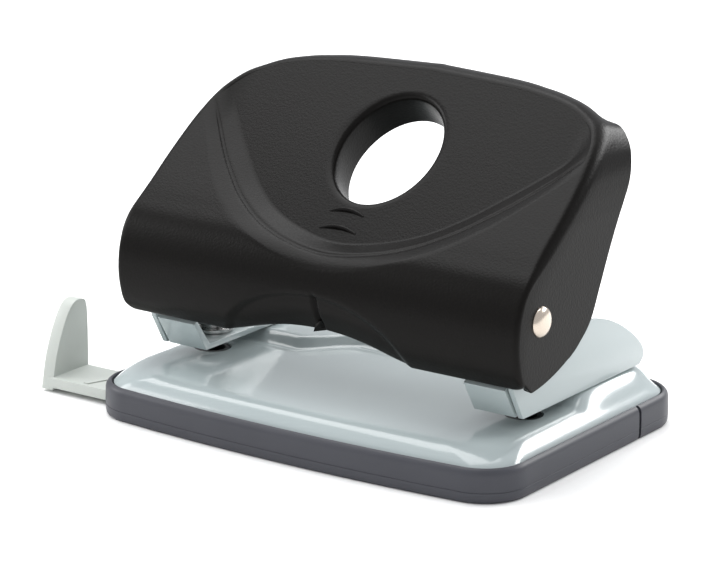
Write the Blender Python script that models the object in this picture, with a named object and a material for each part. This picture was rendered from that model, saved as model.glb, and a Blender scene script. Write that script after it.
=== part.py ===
"""A two-hole desk punch: a pressed sheet-steel base on a soft chip tray, two folded steel
brackets, two spring-loaded punch pins, and a moulded lever handle on a long axle.

Run it with: blender --background --python part.py
Sizes are in millimetres and MM turns them into metres. +X is to the user's right,
+Y points away from the user and +Z is up. The origin is the centre of the tray's underside.
"""

import math

import bmesh
import bpy
from mathutils import Matrix, Vector

MM = 0.001
GAP = 0.3  # clearance between neighbours that touch on the real object
HOLE_FIT = 0.15  # how much wider than its rivet, die or axle a drilled hole is, each side
ROUND_STEPS = 28  # sides of a small round piece

# The tray and the base plate share one plan: a rectangle with a gently bowed front edge.
TRAY_HALF_WIDTH = 52.4
TRAY_HALF_DEPTH = 38.6
TRAY_CORNER = 10.6
FRONT_BOW = 1.9
TRAY_HEIGHT = 7.3
TRAY_WALL = 1.5
TRAY_FLOOR = 0.8
RIB_TOP = 3.6

# The punching mechanism and the handle are measured from their own datum on the base.
DATUM = (0.0, -2.3, 0.8)

SHEET = 1.0  # base plate's steel
SKIRT_BOTTOM = 3.9
PLATEAU_TOP = 9.6 + DATUM[2]
PLATEAU_CORNER = 15.0
PAD_TOP = 11.9 + DATUM[2]
PAPER_STOP_Y = 6.6 + DATUM[1]  # 12 mm behind the hole line

# The two holes are 80 mm apart.
PIN_X = 40.0
PIN_Y = -5.5
PIN_RADIUS = 2.75
PIN_TIP = 12.5
PIN_TOP = 35.8
BORE_RADIUS = 2.85
DIE_COLLAR_RADIUS = 4.0

BRACKET_SHEET = 1.2
BRACKET_BOTTOM = PAD_TOP - DATUM[2] + GAP
BRACKET_INNER_X = 34.2
BRACKET_OUTER_X = 46.0
BRACKET_FRONT_Y = -15.4
BRACKET_REAR_Y = 31.0
LIP_LEAN = math.radians(33)
LIP_LENGTH = 8.0
LIP_SLIT = 0.7
GUIDE_TAB_BOTTOM = 27.0
GUIDE_FLANGE = 0.8
RIVET_YS = {"front": 14.0, "rear": 25.0}
RIVET_RADIUS = 1.5

AXLE_Y = -16.7
AXLE_Z = 33.8
AXLE_RADIUS = 2.0
AXLE_HEAD_RADIUS = 3.25
BOSS_RADIUS = 4.4

HANDLE_HALF_WIDTH = 49.6
HANDLE_WALL = 1.6
HANDLE_TOP = 73.2
HANDLE_CORNER = 19.0
HANDLE_CROWN = 1.8
HOLE_CENTRE = (0.0, 2.6, 58.2)
HOLE_HALF_WIDTH = 11.7
HOLE_HALF_LENGTH = 13.9
COLLAR_WALL = 2.0
COLLAR_DEPTH = 8.5
PANEL_SLOPE = math.radians(41.5)
# The sunk panel's lower edge and the ridge round it, as (x, distance up the panel's slope from
# the hole, height above the panel), from the middle outwards.
PANEL_EDGE = [(0.0, -24.8, 0.0), (10.0, -23.0, 0.0), (18.9, -19.3, 0.0), (26.4, -13.7, 0.0),
              (33.0, -7.0, 0.0), (38.5, -1.0, 0.0), (45.0, 7.0, 0.0), (49.5, 12.7, 0.0),
              (54.0, 18.5, 0.0)]
RIDGE_EDGE = [(0.0, -34.2, 4.0), (10.4, -32.8, 4.0), (20.7, -28.2, 4.0), (28.0, -23.3, 4.0),
              (34.8, -17.4, 3.6), (40.0, -11.3, 3.2), (46.6, -2.4, 2.6), (50.3, 4.0, 2.2),
              (54.0, 11.0, 1.8)]
PANEL_TOP_REACH = 32.0

LEVER_SHEET = 1.0
LEVER_BOTTOM = 36.1
LEVER_FRONT_Y = -12.1
LEVER_REAR_Y = 0.0
EAR_OUTER_X = 47.8
SCREW_X = 24.0
SCREW_Y = -6.0

GUIDE_OUTER_X = -70.8
GUIDE_THICKNESS = 3.0
GUIDE_INNER_END = 36.0
GUIDE_FRONT_Y = -29.2
GUIDE_BACK_Y = -16.8
GUIDE_BOTTOM = TRAY_FLOOR + GAP
GUIDE_TOP = 3.4
GUIDE_HEIGHT = 19.0


# ---------------------------------------------------------------- outlines


def rounded(corners, steps=5):
    """Points of a polygon whose corners (u, v, radius) are arcs; a radius of 0 stays sharp."""
    points = []
    count = len(corners)
    for i, (u, v, radius) in enumerate(corners):
        here = Vector((u, v))
        if radius <= 0:
            points.append((u, v))
            continue
        back = (Vector(corners[i - 1][:2]) - here).normalized()
        ahead = (Vector(corners[(i + 1) % count][:2]) - here).normalized()
        half = back.angle(ahead) / 2
        start = here + back * (radius / math.tan(half))
        middle = here + (back + ahead).normalized() * (radius / math.sin(half))
        sweep = (math.pi - 2 * half) * (1 if ahead.cross(back) > 0 else -1)
        arm = start - middle
        for step in range(steps + 1):
            turn = sweep * step / steps
            c, s = math.cos(turn), math.sin(turn)
            points.append((middle.x + c * arm.x - s * arm.y, middle.y + s * arm.x + c * arm.y))
    return points


def smooth(points, per_span=4):
    """Catmull-Rom curve through points, its end points included."""
    padded = [points[0], *points, points[-1]]
    result = []
    for i in range(1, len(padded) - 2):
        p0, p1, p2, p3 = (Vector(p) for p in padded[i - 1 : i + 3])
        for step in range(per_span):
            t = step / per_span
            point = 0.5 * (
                2 * p1 + (p2 - p0) * t
                + (2 * p0 - 5 * p1 + 4 * p2 - p3) * t**2
                + (3 * p1 - p0 - 3 * p2 + p3) * t**3
            )
            result.append(tuple(point))
    result.append(tuple(points[-1]))
    return result


def circle(u, v, radius, steps=ROUND_STEPS):
    turns = (2 * math.pi * step / steps for step in range(steps))
    return [(u + radius * math.cos(a), v + radius * math.sin(a)) for a in turns]


def base_plan(inset, corner=0.0, steps=6, bow_steps=10):
    """The tray's plan moved inwards by inset: straight sides, bowed front, round corners."""
    half_x = TRAY_HALF_WIDTH - inset
    back = TRAY_HALF_DEPTH - inset
    radius = corner or TRAY_CORNER - inset
    front = -TRAY_HALF_DEPTH + FRONT_BOW + inset
    straight = half_x - radius
    points = []
    for centre_x, centre_y, start in (
        (straight, back - radius, 0),
        (-straight, back - radius, 90),
        (-straight, front + radius, 180),
    ):
        for step in range(steps + 1):
            a = math.radians(start + 90 * step / steps)
            points.append((centre_x + radius * math.cos(a), centre_y + radius * math.sin(a)))
    for step in range(1, bow_steps):
        t = 2 * step / bow_steps - 1
        points.append((t * straight, front - FRONT_BOW * (1 - t * t)))
    for step in range(steps + 1):
        a = math.radians(270 + 90 * step / steps)
        points.append((straight + radius * math.cos(a), front + radius + radius * math.sin(a)))
    return points


def pad_plan(half_x, front, back, rear_corner=8.0):
    """Raised pad that carries both brackets: its front edge steps back in the middle."""
    shoulder, recess_x, recess = 25.0, 13.0, 9.5
    corners = [
        (half_x, back, rear_corner),
        (-half_x, back, rear_corner),
        (-half_x, front, 5.0),
        (-shoulder, front, 6.0),
        (-recess_x, front + recess, 6.0),
        (recess_x, front + recess, 6.0),
        (shoulder, front, 6.0),
        (half_x, front, 5.0),
    ]
    return rounded(corners, 4)


# ---------------------------------------------------------------- solids


def prism(outline, axis, low, high):
    """A flat outline pushed from low to high along an axis."""
    at = "XYZ".index(axis)
    bm = bmesh.new()
    verts = []
    for pair in outline:
        place = list(pair)
        place.insert(at, low)
        verts.append(bm.verts.new(place))
    face = bm.faces.new(verts)
    pushed = bmesh.ops.extrude_face_region(bm, geom=[face])["geom"]
    shift = [0.0, 0.0, 0.0]
    shift[at] = high - low
    moved = [item for item in pushed if isinstance(item, bmesh.types.BMVert)]
    bmesh.ops.translate(bm, verts=moved, vec=shift)
    return bm


def box(low, high):
    corners = [(low[0], low[1]), (high[0], low[1]), (high[0], high[1]), (low[0], high[1])]
    return prism(corners, "Z", low[2], high[2])


def level(outline, z):
    return [(x, y, z) for x, y in outline]


def lofted(outlines):
    """A closed solid through outlines of equal count, each a loop of points in space."""
    bm = bmesh.new()
    rings = [[bm.verts.new(point) for point in outline] for outline in outlines]
    loops = [
        [bm.edges.new((a, b)) for a, b in zip(ring, ring[1:] + ring[:1])]
        for ring in rings
    ]
    for lower, upper in zip(loops, loops[1:]):
        bmesh.ops.bridge_loops(bm, edges=lower + upper)
    bm.faces.new(rings[0])
    bm.faces.new(rings[-1])
    return bm


def turned(profile, centre, axis="Z", steps=ROUND_STEPS):
    """A profile of (radius, height) spun about an axis through centre; it closes on itself."""
    bm = bmesh.new()
    verts = [bm.verts.new((radius, 0.0, height)) for radius, height in profile]
    pairs = list(zip(verts, verts[1:]))
    if profile[0][0] > 0:
        pairs.append((verts[-1], verts[0]))
    edges = [bm.edges.new(pair) for pair in pairs]
    bmesh.ops.spin(
        bm, geom=verts + edges, cent=(0, 0, 0), axis=(0, 0, 1),
        angle=2 * math.pi, steps=steps, use_merge=True,
    )
    bmesh.ops.remove_doubles(bm, verts=bm.verts, dist=1e-4)
    along = Vector([float(letter == axis) for letter in "XYZ"])
    turn = Vector((0, 0, 1)).rotation_difference(along)
    bmesh.ops.transform(bm, matrix=turn.to_matrix().to_4x4(), verts=bm.verts)
    bmesh.ops.translate(bm, verts=bm.verts, vec=centre)
    return bm


def merged(*parts):
    """Several shapes in one mesh, kept as separate shells for a Boolean to use."""
    mesh = bpy.data.meshes.new("scrap")
    whole = bmesh.new()
    for part in parts:
        part.to_mesh(mesh)
        whole.from_mesh(mesh)
        part.free()
    bpy.data.meshes.remove(mesh)
    return whole


# ---------------------------------------------------------------- objects


def clear_scene():
    for obj in list(bpy.data.objects):
        bpy.data.objects.remove(obj)


def material(name, colour, roughness, metallic=0.0):
    made = bpy.data.materials.new(name)
    made.use_nodes = True
    shader = made.node_tree.nodes["Principled BSDF"]
    shader.inputs["Base Color"].default_value = (*colour, 1.0)
    shader.inputs["Roughness"].default_value = roughness
    shader.inputs["Metallic"].default_value = metallic
    return made


def pivot(name, place=(0.0, 0.0, 0.0), parent=None):
    """An empty on a joint's axis, at a place measured from its parent, which pieces hang from."""
    empty = bpy.data.objects.new(name, None)
    empty.location = Vector(place) * MM
    if parent:
        empty.parent = parent["empty"]
    bpy.context.scene.collection.objects.link(empty)
    return {"empty": empty, "place": Vector(place) * MM}


def add(name, bm, finish, hang, smooth_angle=30):
    """Turns a mesh in millimetres into a named object that hangs from a pivot.

    The mesh is drawn about the pivot's own parent, so the pivot's place is taken off it.
    """
    bmesh.ops.recalc_face_normals(bm, faces=bm.faces)
    bmesh.ops.scale(bm, vec=(MM, MM, MM), verts=bm.verts)
    bmesh.ops.translate(bm, vec=-hang["place"], verts=bm.verts)
    mesh = bpy.data.meshes.new(name)
    bm.to_mesh(mesh)
    bm.free()
    mesh.shade_smooth()
    mesh.set_sharp_from_angle(angle=math.radians(smooth_angle))
    mesh.materials.append(finish)
    obj = bpy.data.objects.new(name, mesh)
    obj.parent = hang["empty"]
    bpy.context.scene.collection.objects.link(obj)
    return obj


def tool(name, bm, hang):
    """A helper shape that only a Boolean uses."""
    obj = add(name, bm, STEEL, hang)
    obj.hide_render = True
    obj.display_type = "WIRE"
    return obj


def combine(obj, helper, operation):
    modifier = obj.modifiers.new(helper.name, "BOOLEAN")
    modifier.operation = operation
    modifier.object = helper
    modifier.solver = "EXACT"
    modifier.use_self = True


# ---------------------------------------------------------------- base group


def make_base_plate():
    """Pressed plate: skirt inside the tray, sloped shoulder, paper table and raised pad."""
    outside = TRAY_WALL + GAP

    def shell(inset, drop, bottom):
        return lofted([
            level(base_plan(outside + inset), bottom),
            level(base_plan(outside + inset), 7.2 - drop),
            level(base_plan(outside + inset + 0.9, 10.0), 8.7 - drop),
            level(base_plan(outside + inset + 2.6, 13.0), 9.9 - drop),
            level(base_plan(outside + inset + 4.6, PLATEAU_CORNER), PLATEAU_TOP - drop),
        ])

    def pad(inset, drop, bottom):
        foot = pad_plan(50.0 - inset, 0.6 + inset, 35.0 - inset, 11.0)
        return lofted([
            level(foot, bottom),
            level(foot, 7.6 - drop),
            level(pad_plan(49.0 - inset, 1.3 + inset, 33.2 - inset, 10.0), 10.4 - drop),
            level(pad_plan(47.9 - inset, 3.5 + inset, 31.2 - inset), 12.2 - drop),
            level(pad_plan(47.1 - inset, PAPER_STOP_Y + inset, 30.2 - inset), PAD_TOP - drop),
        ])

    plate = add("base_plate", shell(0, 0, SKIRT_BOTTOM), PAINTED_STEEL, ROOT)
    combine(plate, tool("cut_pad_outer", pad(0, 0, 5.5), ROOT), "UNION")
    hollow = tool("cut_plate_hollow", shell(SHEET, SHEET, SKIRT_BOTTOM - 2), ROOT)
    combine(hollow, tool("cut_pad_inner", pad(SHEET, SHEET, 4.5), ROOT), "UNION")
    combine(plate, hollow, "DIFFERENCE")
    holes = []
    for side in (-1, 1):
        holes.append(prism(circle(side * PIN_X, PIN_Y, DIE_COLLAR_RADIUS + HOLE_FIT), "Z", 5, 15))
        for y in RIVET_YS.values():
            holes.append(prism(circle(side * PIN_X, y, RIVET_RADIUS + HOLE_FIT, 20), "Z", 5, 15))
    combine(plate, tool("cut_plate_holes", merged(*holes), MECHANISM), "DIFFERENCE")


def bracket_profile():
    """Side plate's outline as (y, z): flat foot, round tail, shoulder, axle eye, front edge."""
    low = BRACKET_BOTTOM
    tail = smooth([(31.2, low), (32.8, 13.6), (32.6, 15.6), (30.6, 17.8), (26.7, 20.7),
                   (22.4, 23.2), (18.2, 25.1), (14.0, 26.4), (9.5, 27.1)], 4)
    eye = [
        (AXLE_Y + BOSS_RADIUS * math.cos(a), AXLE_Z + BOSS_RADIUS * math.sin(a))
        for a in (math.radians(-20 + 200 * step / 14) for step in range(15))
    ]
    lip_top_y = BRACKET_FRONT_Y - LIP_LENGTH * math.sin(LIP_LEAN)
    lip_top_z = low + LIP_LENGTH * math.cos(LIP_LEAN)
    return [
        (BRACKET_FRONT_Y, low), *tail, (2.0, 27.2), (-1.4, 28.2), (-6.5, 29.6), *eye,
        (-20.9, 27.0), (lip_top_y + 0.4, lip_top_z),
    ]


def make_bracket(name, side):
    """Folded sheet: bottom plate, side plate, front lip and the tab that steadies the pin."""
    inner, outer = side * BRACKET_INNER_X, side * BRACKET_OUTER_X
    wall = side * (BRACKET_OUTER_X - BRACKET_SHEET)
    low, high = BRACKET_BOTTOM, BRACKET_BOTTOM + BRACKET_SHEET
    bracket = add(name, prism(bracket_profile(), "X", *sorted((wall, outer))), PAINTED_STEEL, MECHANISM)

    overlap = side * 0.4
    lip_edge = wall - side * LIP_SLIT
    floor_edge = side * (BRACKET_OUTER_X - 2.4)
    rear = [
        (inner, BRACKET_FRONT_Y, 0), (floor_edge, BRACKET_FRONT_Y, 0),
        (floor_edge, BRACKET_FRONT_Y + 2.5, 0), (wall + overlap, BRACKET_FRONT_Y + 2.5, 0),
        (wall + overlap, BRACKET_REAR_Y, 0), (inner, BRACKET_REAR_Y, 3.0),
    ]
    foot = tool("join_foot_" + name, prism(rounded(rear), "Z", low, high), MECHANISM)
    combine(bracket, foot, "UNION")

    lean_y, lean_z = -math.sin(LIP_LEAN), math.cos(LIP_LEAN)
    lip = [
        (BRACKET_FRONT_Y, low), (BRACKET_FRONT_Y + 1.6, low), (BRACKET_FRONT_Y + 1.6, high),
        (BRACKET_FRONT_Y + BRACKET_SHEET * lean_z + 0.1, high + 0.1),
        (BRACKET_FRONT_Y + LIP_LENGTH * lean_y + BRACKET_SHEET * lean_z,
         low + LIP_LENGTH * lean_z - BRACKET_SHEET * lean_y),
        (BRACKET_FRONT_Y + LIP_LENGTH * lean_y, low + LIP_LENGTH * lean_z),
    ]
    front = tool("join_lip_" + name, prism(lip, "X", *sorted((inner, lip_edge))), MECHANISM)
    combine(bracket, front, "UNION")

    tab = [
        (side * 35.0, PIN_Y - 4.9, 2.0), (wall + overlap, PIN_Y - 4.9, 0),
        (wall + overlap, PIN_Y + 3.9, 0), (side * 35.0, PIN_Y + 3.9, 2.0),
    ]
    shelf = prism(rounded(tab), "Z", GUIDE_TAB_BOTTOM, GUIDE_TAB_BOTTOM + BRACKET_SHEET)
    combine(bracket, tool("join_tab_" + name, shelf, MECHANISM), "UNION")

    holes = [
        prism(circle(side * PIN_X, PIN_Y, 3.75), "Z", low - 2, high + 2),
        prism(circle(side * PIN_X, PIN_Y, BORE_RADIUS), "Z", 26, 31),
        prism(circle(AXLE_Y, AXLE_Z, AXLE_RADIUS + HOLE_FIT), "X", *sorted((side * 43, side * 48))),
    ]
    for y in RIVET_YS.values():
        holes.append(prism(circle(side * PIN_X, y, RIVET_RADIUS + HOLE_FIT, 20), "Z", low - 2, high + 2))
    combine(bracket, tool("cut_holes_" + name, merged(*holes), MECHANISM), "DIFFERENCE")


def make_pin_guide(name, side):
    """Flanged bush in the bracket's bottom plate, which the pin slides in."""
    low = BRACKET_BOTTOM
    seat = low + BRACKET_SHEET + GAP
    top = seat + GUIDE_FLANGE
    profile = [
        (BORE_RADIUS, low), (3.6, low), (3.6, seat), (4.5, seat), (4.5, top), (BORE_RADIUS, top),
    ]
    add(name, turned(profile, (side * PIN_X, PIN_Y, 0)), STEEL, MECHANISM)


def make_die(name, side):
    """Hardened die bush, flush with the paper table, with a flange under the plate."""
    top = PLATEAU_TOP - DATUM[2] - 0.1
    flange_top = top + 0.1 - SHEET - GAP
    profile = [
        (BORE_RADIUS, flange_top - 1.1), (6.0, flange_top - 1.1), (6.0, flange_top),
        (DIE_COLLAR_RADIUS, flange_top), (DIE_COLLAR_RADIUS, top), (BORE_RADIUS, top),
    ]
    add(name, turned(profile, (side * PIN_X, PIN_Y, 0)), DIE_STEEL, MECHANISM)


def make_bracket_rivet(name, side, y):
    """Domed rivet through the bracket and the pad, with a flat head formed underneath."""
    head = BRACKET_BOTTOM + BRACKET_SHEET + GAP
    foot = BRACKET_BOTTOM - SHEET - 2 * GAP
    profile = [
        (0.0, foot - 1.0), (2.6, foot - 1.0), (2.6, foot), (RIVET_RADIUS, foot),
        (RIVET_RADIUS, head), (2.8, head), (2.6, head + 0.6), (1.6, head + 1.1), (0.0, head + 1.3),
    ]
    add(name, turned(profile, (side * PIN_X, y, 0), steps=20), PAINTED_STEEL, MECHANISM)


# ---------------------------------------------------------------- punch pins


def make_pin_group(word, side):
    """One punch pin with its retaining clip and its return spring."""
    hang = pivot(word + "_pin_axis", (side * PIN_X, PIN_Y, PIN_TOP), DATUM_POINT)
    dome_radius = 4.0
    head_low = PIN_TOP - 1.6
    dome = []
    for step in range(6):
        z = head_low + (PIN_TOP - head_low) * math.sin(math.pi / 2 * step / 5)
        dome.append((math.sqrt(max(dome_radius**2 - (z - PIN_TOP + dome_radius) ** 2, 0)), z))
    clip_low = GUIDE_TAB_BOTTOM - GAP - 0.8
    groove_radius = 2.1
    groove = [(PIN_RADIUS, clip_low - 0.2), (groove_radius, clip_low - 0.2),
              (groove_radius, clip_low + 1.0), (PIN_RADIUS, clip_low + 1.0)]
    profile = [(0.0, PIN_TIP + 1.1), (PIN_RADIUS, PIN_TIP), *groove, (PIN_RADIUS, head_low), *dome]
    centre = (side * PIN_X, PIN_Y, 0)
    add(word + "_punch_pin", turned(profile, centre), STEEL, hang)

    clip = [(2.4, clip_low), (4.7, clip_low), (4.7, clip_low + 0.8), (2.4, clip_low + 0.8)]
    add(word + "_pin_clip", turned(clip, centre), STEEL, hang)

    make_spring(word + "_return_spring", side, hang, clip_low)


def make_spring(name, side, hang, top):
    """Compression spring: a round wire along a helix whose two end turns lie flat."""
    wire, coil_radius, turns, per_turn = 0.36, 3.75, 6, 14
    low = BRACKET_BOTTOM + BRACKET_SHEET + GUIDE_FLANGE + 2 * GAP + wire
    high = top - GAP - wire
    closed_turns = 0.8
    closed_pitch = 2.2 * wire
    closed_lift = closed_turns * closed_pitch
    open_pitch = (high - low - 2 * closed_lift) / (turns - 2 * closed_turns)
    points = []
    for step in range(turns * per_turn + 1):
        turn = step / per_turn
        first = min(turn, closed_turns)
        last = max(turn - turns + closed_turns, 0.0)
        lift = closed_pitch * (first + last) + open_pitch * (turn - first - last)
        a = 2 * math.pi * turn
        points.append((coil_radius * math.cos(a), coil_radius * math.sin(a), low + lift))
    curve = bpy.data.curves.new(name, "CURVE")
    curve.dimensions = "3D"
    curve.bevel_depth = wire * MM
    curve.bevel_resolution = 1
    curve.use_fill_caps = True
    spline = curve.splines.new("POLY")
    spline.points.add(len(points) - 1)
    for target, (x, y, z) in zip(spline.points, points):
        drawn = Vector((side * PIN_X + x, PIN_Y + y, z)) * MM
        target.co = (*(drawn - hang["place"]), 1.0)
    curve.materials.append(STEEL)
    obj = bpy.data.objects.new(name, curve)
    obj.parent = hang["empty"]
    bpy.context.scene.collection.objects.link(obj)


# ---------------------------------------------------------------- handle group


def handle_profile():
    """Cover's side outline as (y, z), from the tip up the front face, over and down the back."""
    front = smooth([(-22.2, 20.1), (-24.6, 24.0), (-25.8, 30.0), (-25.0, 36.2), (-22.4, 41.3),
                    (-17.6, 45.6), (-9.6, 51.8), (0.0, 59.1), (9.0, 65.9), (16.0, 71.0)], 3)
    top = smooth([(18.0, 72.6), (20.4, 73.1), (22.2, 71.4), (21.9, 67.6)], 3)
    back = smooth([(18.9, 60.0), (17.1, 55.7), (13.4, 50.3), (9.8, 43.9), (6.2, 36.6), (2.6, 29.6),
                   (-1.9, 25.6), (-8.8, 22.2), (-16.3, 20.1), (-20.4, 19.6)], 2)
    return front, top, back


def inner_profile():
    """The front face moved inwards by the wall, closed far behind the open back."""
    front, top, _ = handle_profile()
    line = front[1:] + top[:2]
    moved = []
    for before, here, after in zip(line, line[1:], line[2:]):
        along = (Vector(after) - Vector(before)).normalized()
        moved.append((here[0] + along.y * HANDLE_WALL, here[1] - along.x * HANDLE_WALL))
    first, last = moved[0], moved[-1]
    return [(first[0] + 1.2, 10.0), *moved, (last[0] + 1.5, last[1] - 0.4), (40.0, last[1] - 3.0),
            (40.0, 10.0)]


def handle_front_view(inset):
    """Outline in (x, z) that rounds the handle's two top corners and crowns its top edge."""
    half = HANDLE_HALF_WIDTH - inset
    top = HANDLE_TOP - inset
    radius = HANDLE_CORNER - inset
    middle_x = half - radius
    middle_z = top - HANDLE_CROWN - radius
    points = [(half, 5.0)]
    for step in range(11):
        a = math.radians(90 * step / 10)
        points.append((middle_x + radius * math.cos(a), middle_z + radius * math.sin(a)))
    for step in range(1, 6):
        t = 1 - step / 6
        points.append((middle_x * t, top - HANDLE_CROWN * t * t))
    return points + [(0.0, top)] + [(-x, z) for x, z in reversed(points)]


def on_panel(x, along, height):
    """A point given by x, the distance up the panel's slope from the hole, and the height."""
    c, s = math.cos(PANEL_SLOPE), math.sin(PANEL_SLOPE)
    return (x, HOLE_CENTRE[1] + along * c - height * s, HOLE_CENTRE[2] + along * s + height * c)


def panel_recess(depth):
    """The space over the sunk panel, bounded by a ruled band out to the ridge and beyond."""
    beyond = 1.8
    sink = Vector((0.0, 0.0, depth))
    pairs = [
        (Vector(low), Vector(high))
        for low, high in zip(smooth(PANEL_EDGE, 2), smooth(RIDGE_EDGE, 2))
    ]
    rings = []
    for reach, far_end in ((0.0, PANEL_TOP_REACH), (beyond, PANEL_TOP_REACH + 12.0)):
        right = [low + reach * (high - low) - sink for low, high in pairs]
        right.append(Vector((right[-1].x, far_end, right[-1].z)))
        left = [Vector((-x, along, height)) for x, along, height in reversed(right[1:])]
        rings.append([on_panel(*point) for point in left + right])
    return lofted(rings)


def across_face(depth_low, depth_high, half_width, half_length, steps=36):
    """An elliptical plug square to the panel, at the finger hole."""
    outline = [
        (half_width * math.cos(a), half_length * math.sin(a))
        for a in (2 * math.pi * step / steps for step in range(steps))
    ]
    plug = prism(outline, "Z", depth_low, depth_high)
    tip = Matrix.Rotation(PANEL_SLOPE, 3, "X")
    bmesh.ops.rotate(plug, verts=plug.verts, cent=(0, 0, 0), matrix=tip)
    bmesh.ops.translate(plug, verts=plug.verts, vec=HOLE_CENTRE)
    return plug


def make_handle_cover():
    """Moulded shell, open at the back, with a collared finger hole and two screw bosses."""
    front, top, back = handle_profile()
    half = HANDLE_HALF_WIDTH
    cover = add("handle_cover", prism(front + top + back, "X", -half, half), BLACK_PLASTIC, HANDLE)
    view = tool("trim_handle_corners", prism(handle_front_view(0), "Y", -60, 60), HANDLE)
    combine(cover, view, "INTERSECT")
    inner_half = half - HANDLE_WALL
    hollow = tool("cut_handle_hollow", prism(inner_profile(), "X", -inner_half, inner_half), HANDLE)
    inner_view = tool("trim_hollow_corners", prism(handle_front_view(HANDLE_WALL), "Y", -60, 60), HANDLE)
    combine(hollow, inner_view, "INTERSECT")
    under_panel = tool("keep_panel_wall", panel_recess(HANDLE_WALL), HANDLE)
    combine(hollow, under_panel, "DIFFERENCE")
    combine(cover, hollow, "DIFFERENCE")

    collar = across_face(-COLLAR_DEPTH, -0.6, HOLE_HALF_WIDTH + COLLAR_WALL, HOLE_HALF_LENGTH + COLLAR_WALL)
    combine(cover, tool("join_collar", collar, HANDLE), "UNION")
    for side, word in ((-1, "left"), (1, "right")):
        post = prism(circle(side * SCREW_X, SCREW_Y, 3.3, 24), "Z", LEVER_BOTTOM + LEVER_SHEET + GAP, 49.0)
        combine(cover, tool("join_boss_" + word, post, HANDLE), "UNION")
    combine(cover, tool("cut_panel", panel_recess(0.0), HANDLE), "DIFFERENCE")
    holes = [across_face(-30, 10, HOLE_HALF_WIDTH, HOLE_HALF_LENGTH)]
    for side in (-1, 1):
        holes.append(prism(circle(side * SCREW_X, SCREW_Y, 1.7, 16), "Z", 20, 46))
        ends = sorted((side * 45, side * 55))
        holes.append(prism(circle(AXLE_Y, AXLE_Z, AXLE_RADIUS + HOLE_FIT), "X", *ends))
    combine(cover, tool("cut_handle_holes", merged(*holes), HANDLE), "DIFFERENCE")

    scoop = rounded([(-24.0, 10.0, 0), (-23.0, 20.3, 2), (-13.0, 23.6, 10), (13.0, 23.6, 10),
                     (23.0, 20.3, 2), (24.0, 10.0, 0)], 6)
    combine(cover, tool("cut_scoop", prism(scoop, "Y", -40, -19), HANDLE), "DIFFERENCE")


def make_lever_plate():
    """Steel channel under the cover: its web presses both pins and its ears hang on the axle."""
    low, high = LEVER_BOTTOM, LEVER_BOTTOM + LEVER_SHEET
    half = EAR_OUTER_X
    web = box((-half, LEVER_FRONT_Y, low), (half, LEVER_REAR_Y, high))
    plate = add("lever_plate", web, ZINC_STEEL, HANDLE)
    ear = [(-1.0, high), (LEVER_FRONT_Y - 1.5, high + 0.6)]
    ear += [
        (AXLE_Y + 4.8 * math.cos(a), AXLE_Z + 4.8 * math.sin(a))
        for a in (math.radians(70 + 210 * step / 12) for step in range(13))
    ]
    ear += [(-6.0, 31.5), (-1.0, 33.5)]
    for side, word in ((-1, "left"), (1, "right")):
        inner = side * (half - 0.8)
        flange = prism(ear, "X", *sorted((inner, side * (half + 0.02))))
        combine(plate, tool("join_ear_" + word, flange, HANDLE), "UNION")
    holes = []
    for side in (-1, 1):
        holes.append(prism(circle(side * SCREW_X, SCREW_Y, 1.7, 20), "Z", low - 2, high + 2))
        ends = sorted((side * 46, side * 49))
        holes.append(prism(circle(AXLE_Y, AXLE_Z, AXLE_RADIUS + HOLE_FIT), "X", *ends))
    combine(plate, tool("cut_lever_holes", merged(*holes), HANDLE), "DIFFERENCE")


def make_cover_screw(name, side):
    """Pan-head screw, driven upwards through the lever plate into the cover's boss."""
    head = LEVER_BOTTOM - GAP
    profile = [(0.0, head - 1.4), (2.0, head - 1.3), (2.9, head - 0.7), (3.0, head), (1.4, head),
               (1.4, 44.0), (0.0, 45.2)]
    add(name, turned(profile, (side * SCREW_X, SCREW_Y, 0), steps=20), STEEL, HANDLE)


def dome_profile(seat, height, steps=6):
    """(radius, distance along the axle) of a domed head that stands on seat."""
    return [
        (AXLE_HEAD_RADIUS * math.cos(a), seat + height * math.sin(a))
        for a in (math.pi / 2 * step / steps for step in range(steps + 1))
    ]


def make_axle():
    """Long axle with one formed domed head; a domed cap closes its other end."""
    seat = HANDLE_HALF_WIDTH + GAP
    dome = dome_profile(seat + 0.4, 1.5)
    profile = [(0.0, -seat - 0.9), (AXLE_RADIUS, -seat - 0.9), (AXLE_RADIUS, seat), (AXLE_HEAD_RADIUS, seat)]
    profile += [(radius if radius > 0.01 else 0.0, x) for radius, x in dome]
    add("axle", turned(profile, (0, AXLE_Y, AXLE_Z), "X"), NICKEL, HANDLE)

    cap = [(0.0, seat + 1.1), (AXLE_RADIUS + 0.2, seat + 1.1), (AXLE_RADIUS + 0.2, seat),
           (AXLE_HEAD_RADIUS, seat)]
    cap += [(radius if radius > 0.01 else 0.0, x) for radius, x in dome]
    shape = turned(cap, (0, 0, 0), "X")
    bmesh.ops.scale(shape, vec=(-1, 1, 1), verts=shape.verts)
    bmesh.ops.translate(shape, vec=(0, AXLE_Y, AXLE_Z), verts=shape.verts)
    add("axle_cap", shape, NICKEL, HANDLE)


def make_pivot_washer(name, side):
    near, far = BRACKET_OUTER_X + GAP, EAR_OUTER_X - 0.8 - GAP
    profile = [(AXLE_RADIUS + 0.2, near), (4.2, near), (4.2, far), (AXLE_RADIUS + 0.2, far)]
    shape = turned(profile, (0, 0, 0), "X", 24)
    bmesh.ops.scale(shape, vec=(side, 1, 1), verts=shape.verts)
    bmesh.ops.translate(shape, vec=(0, AXLE_Y, AXLE_Z), verts=shape.verts)
    add(name, shape, WHITE_PLASTIC, MECHANISM)


# ---------------------------------------------------------------- tray group


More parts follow.
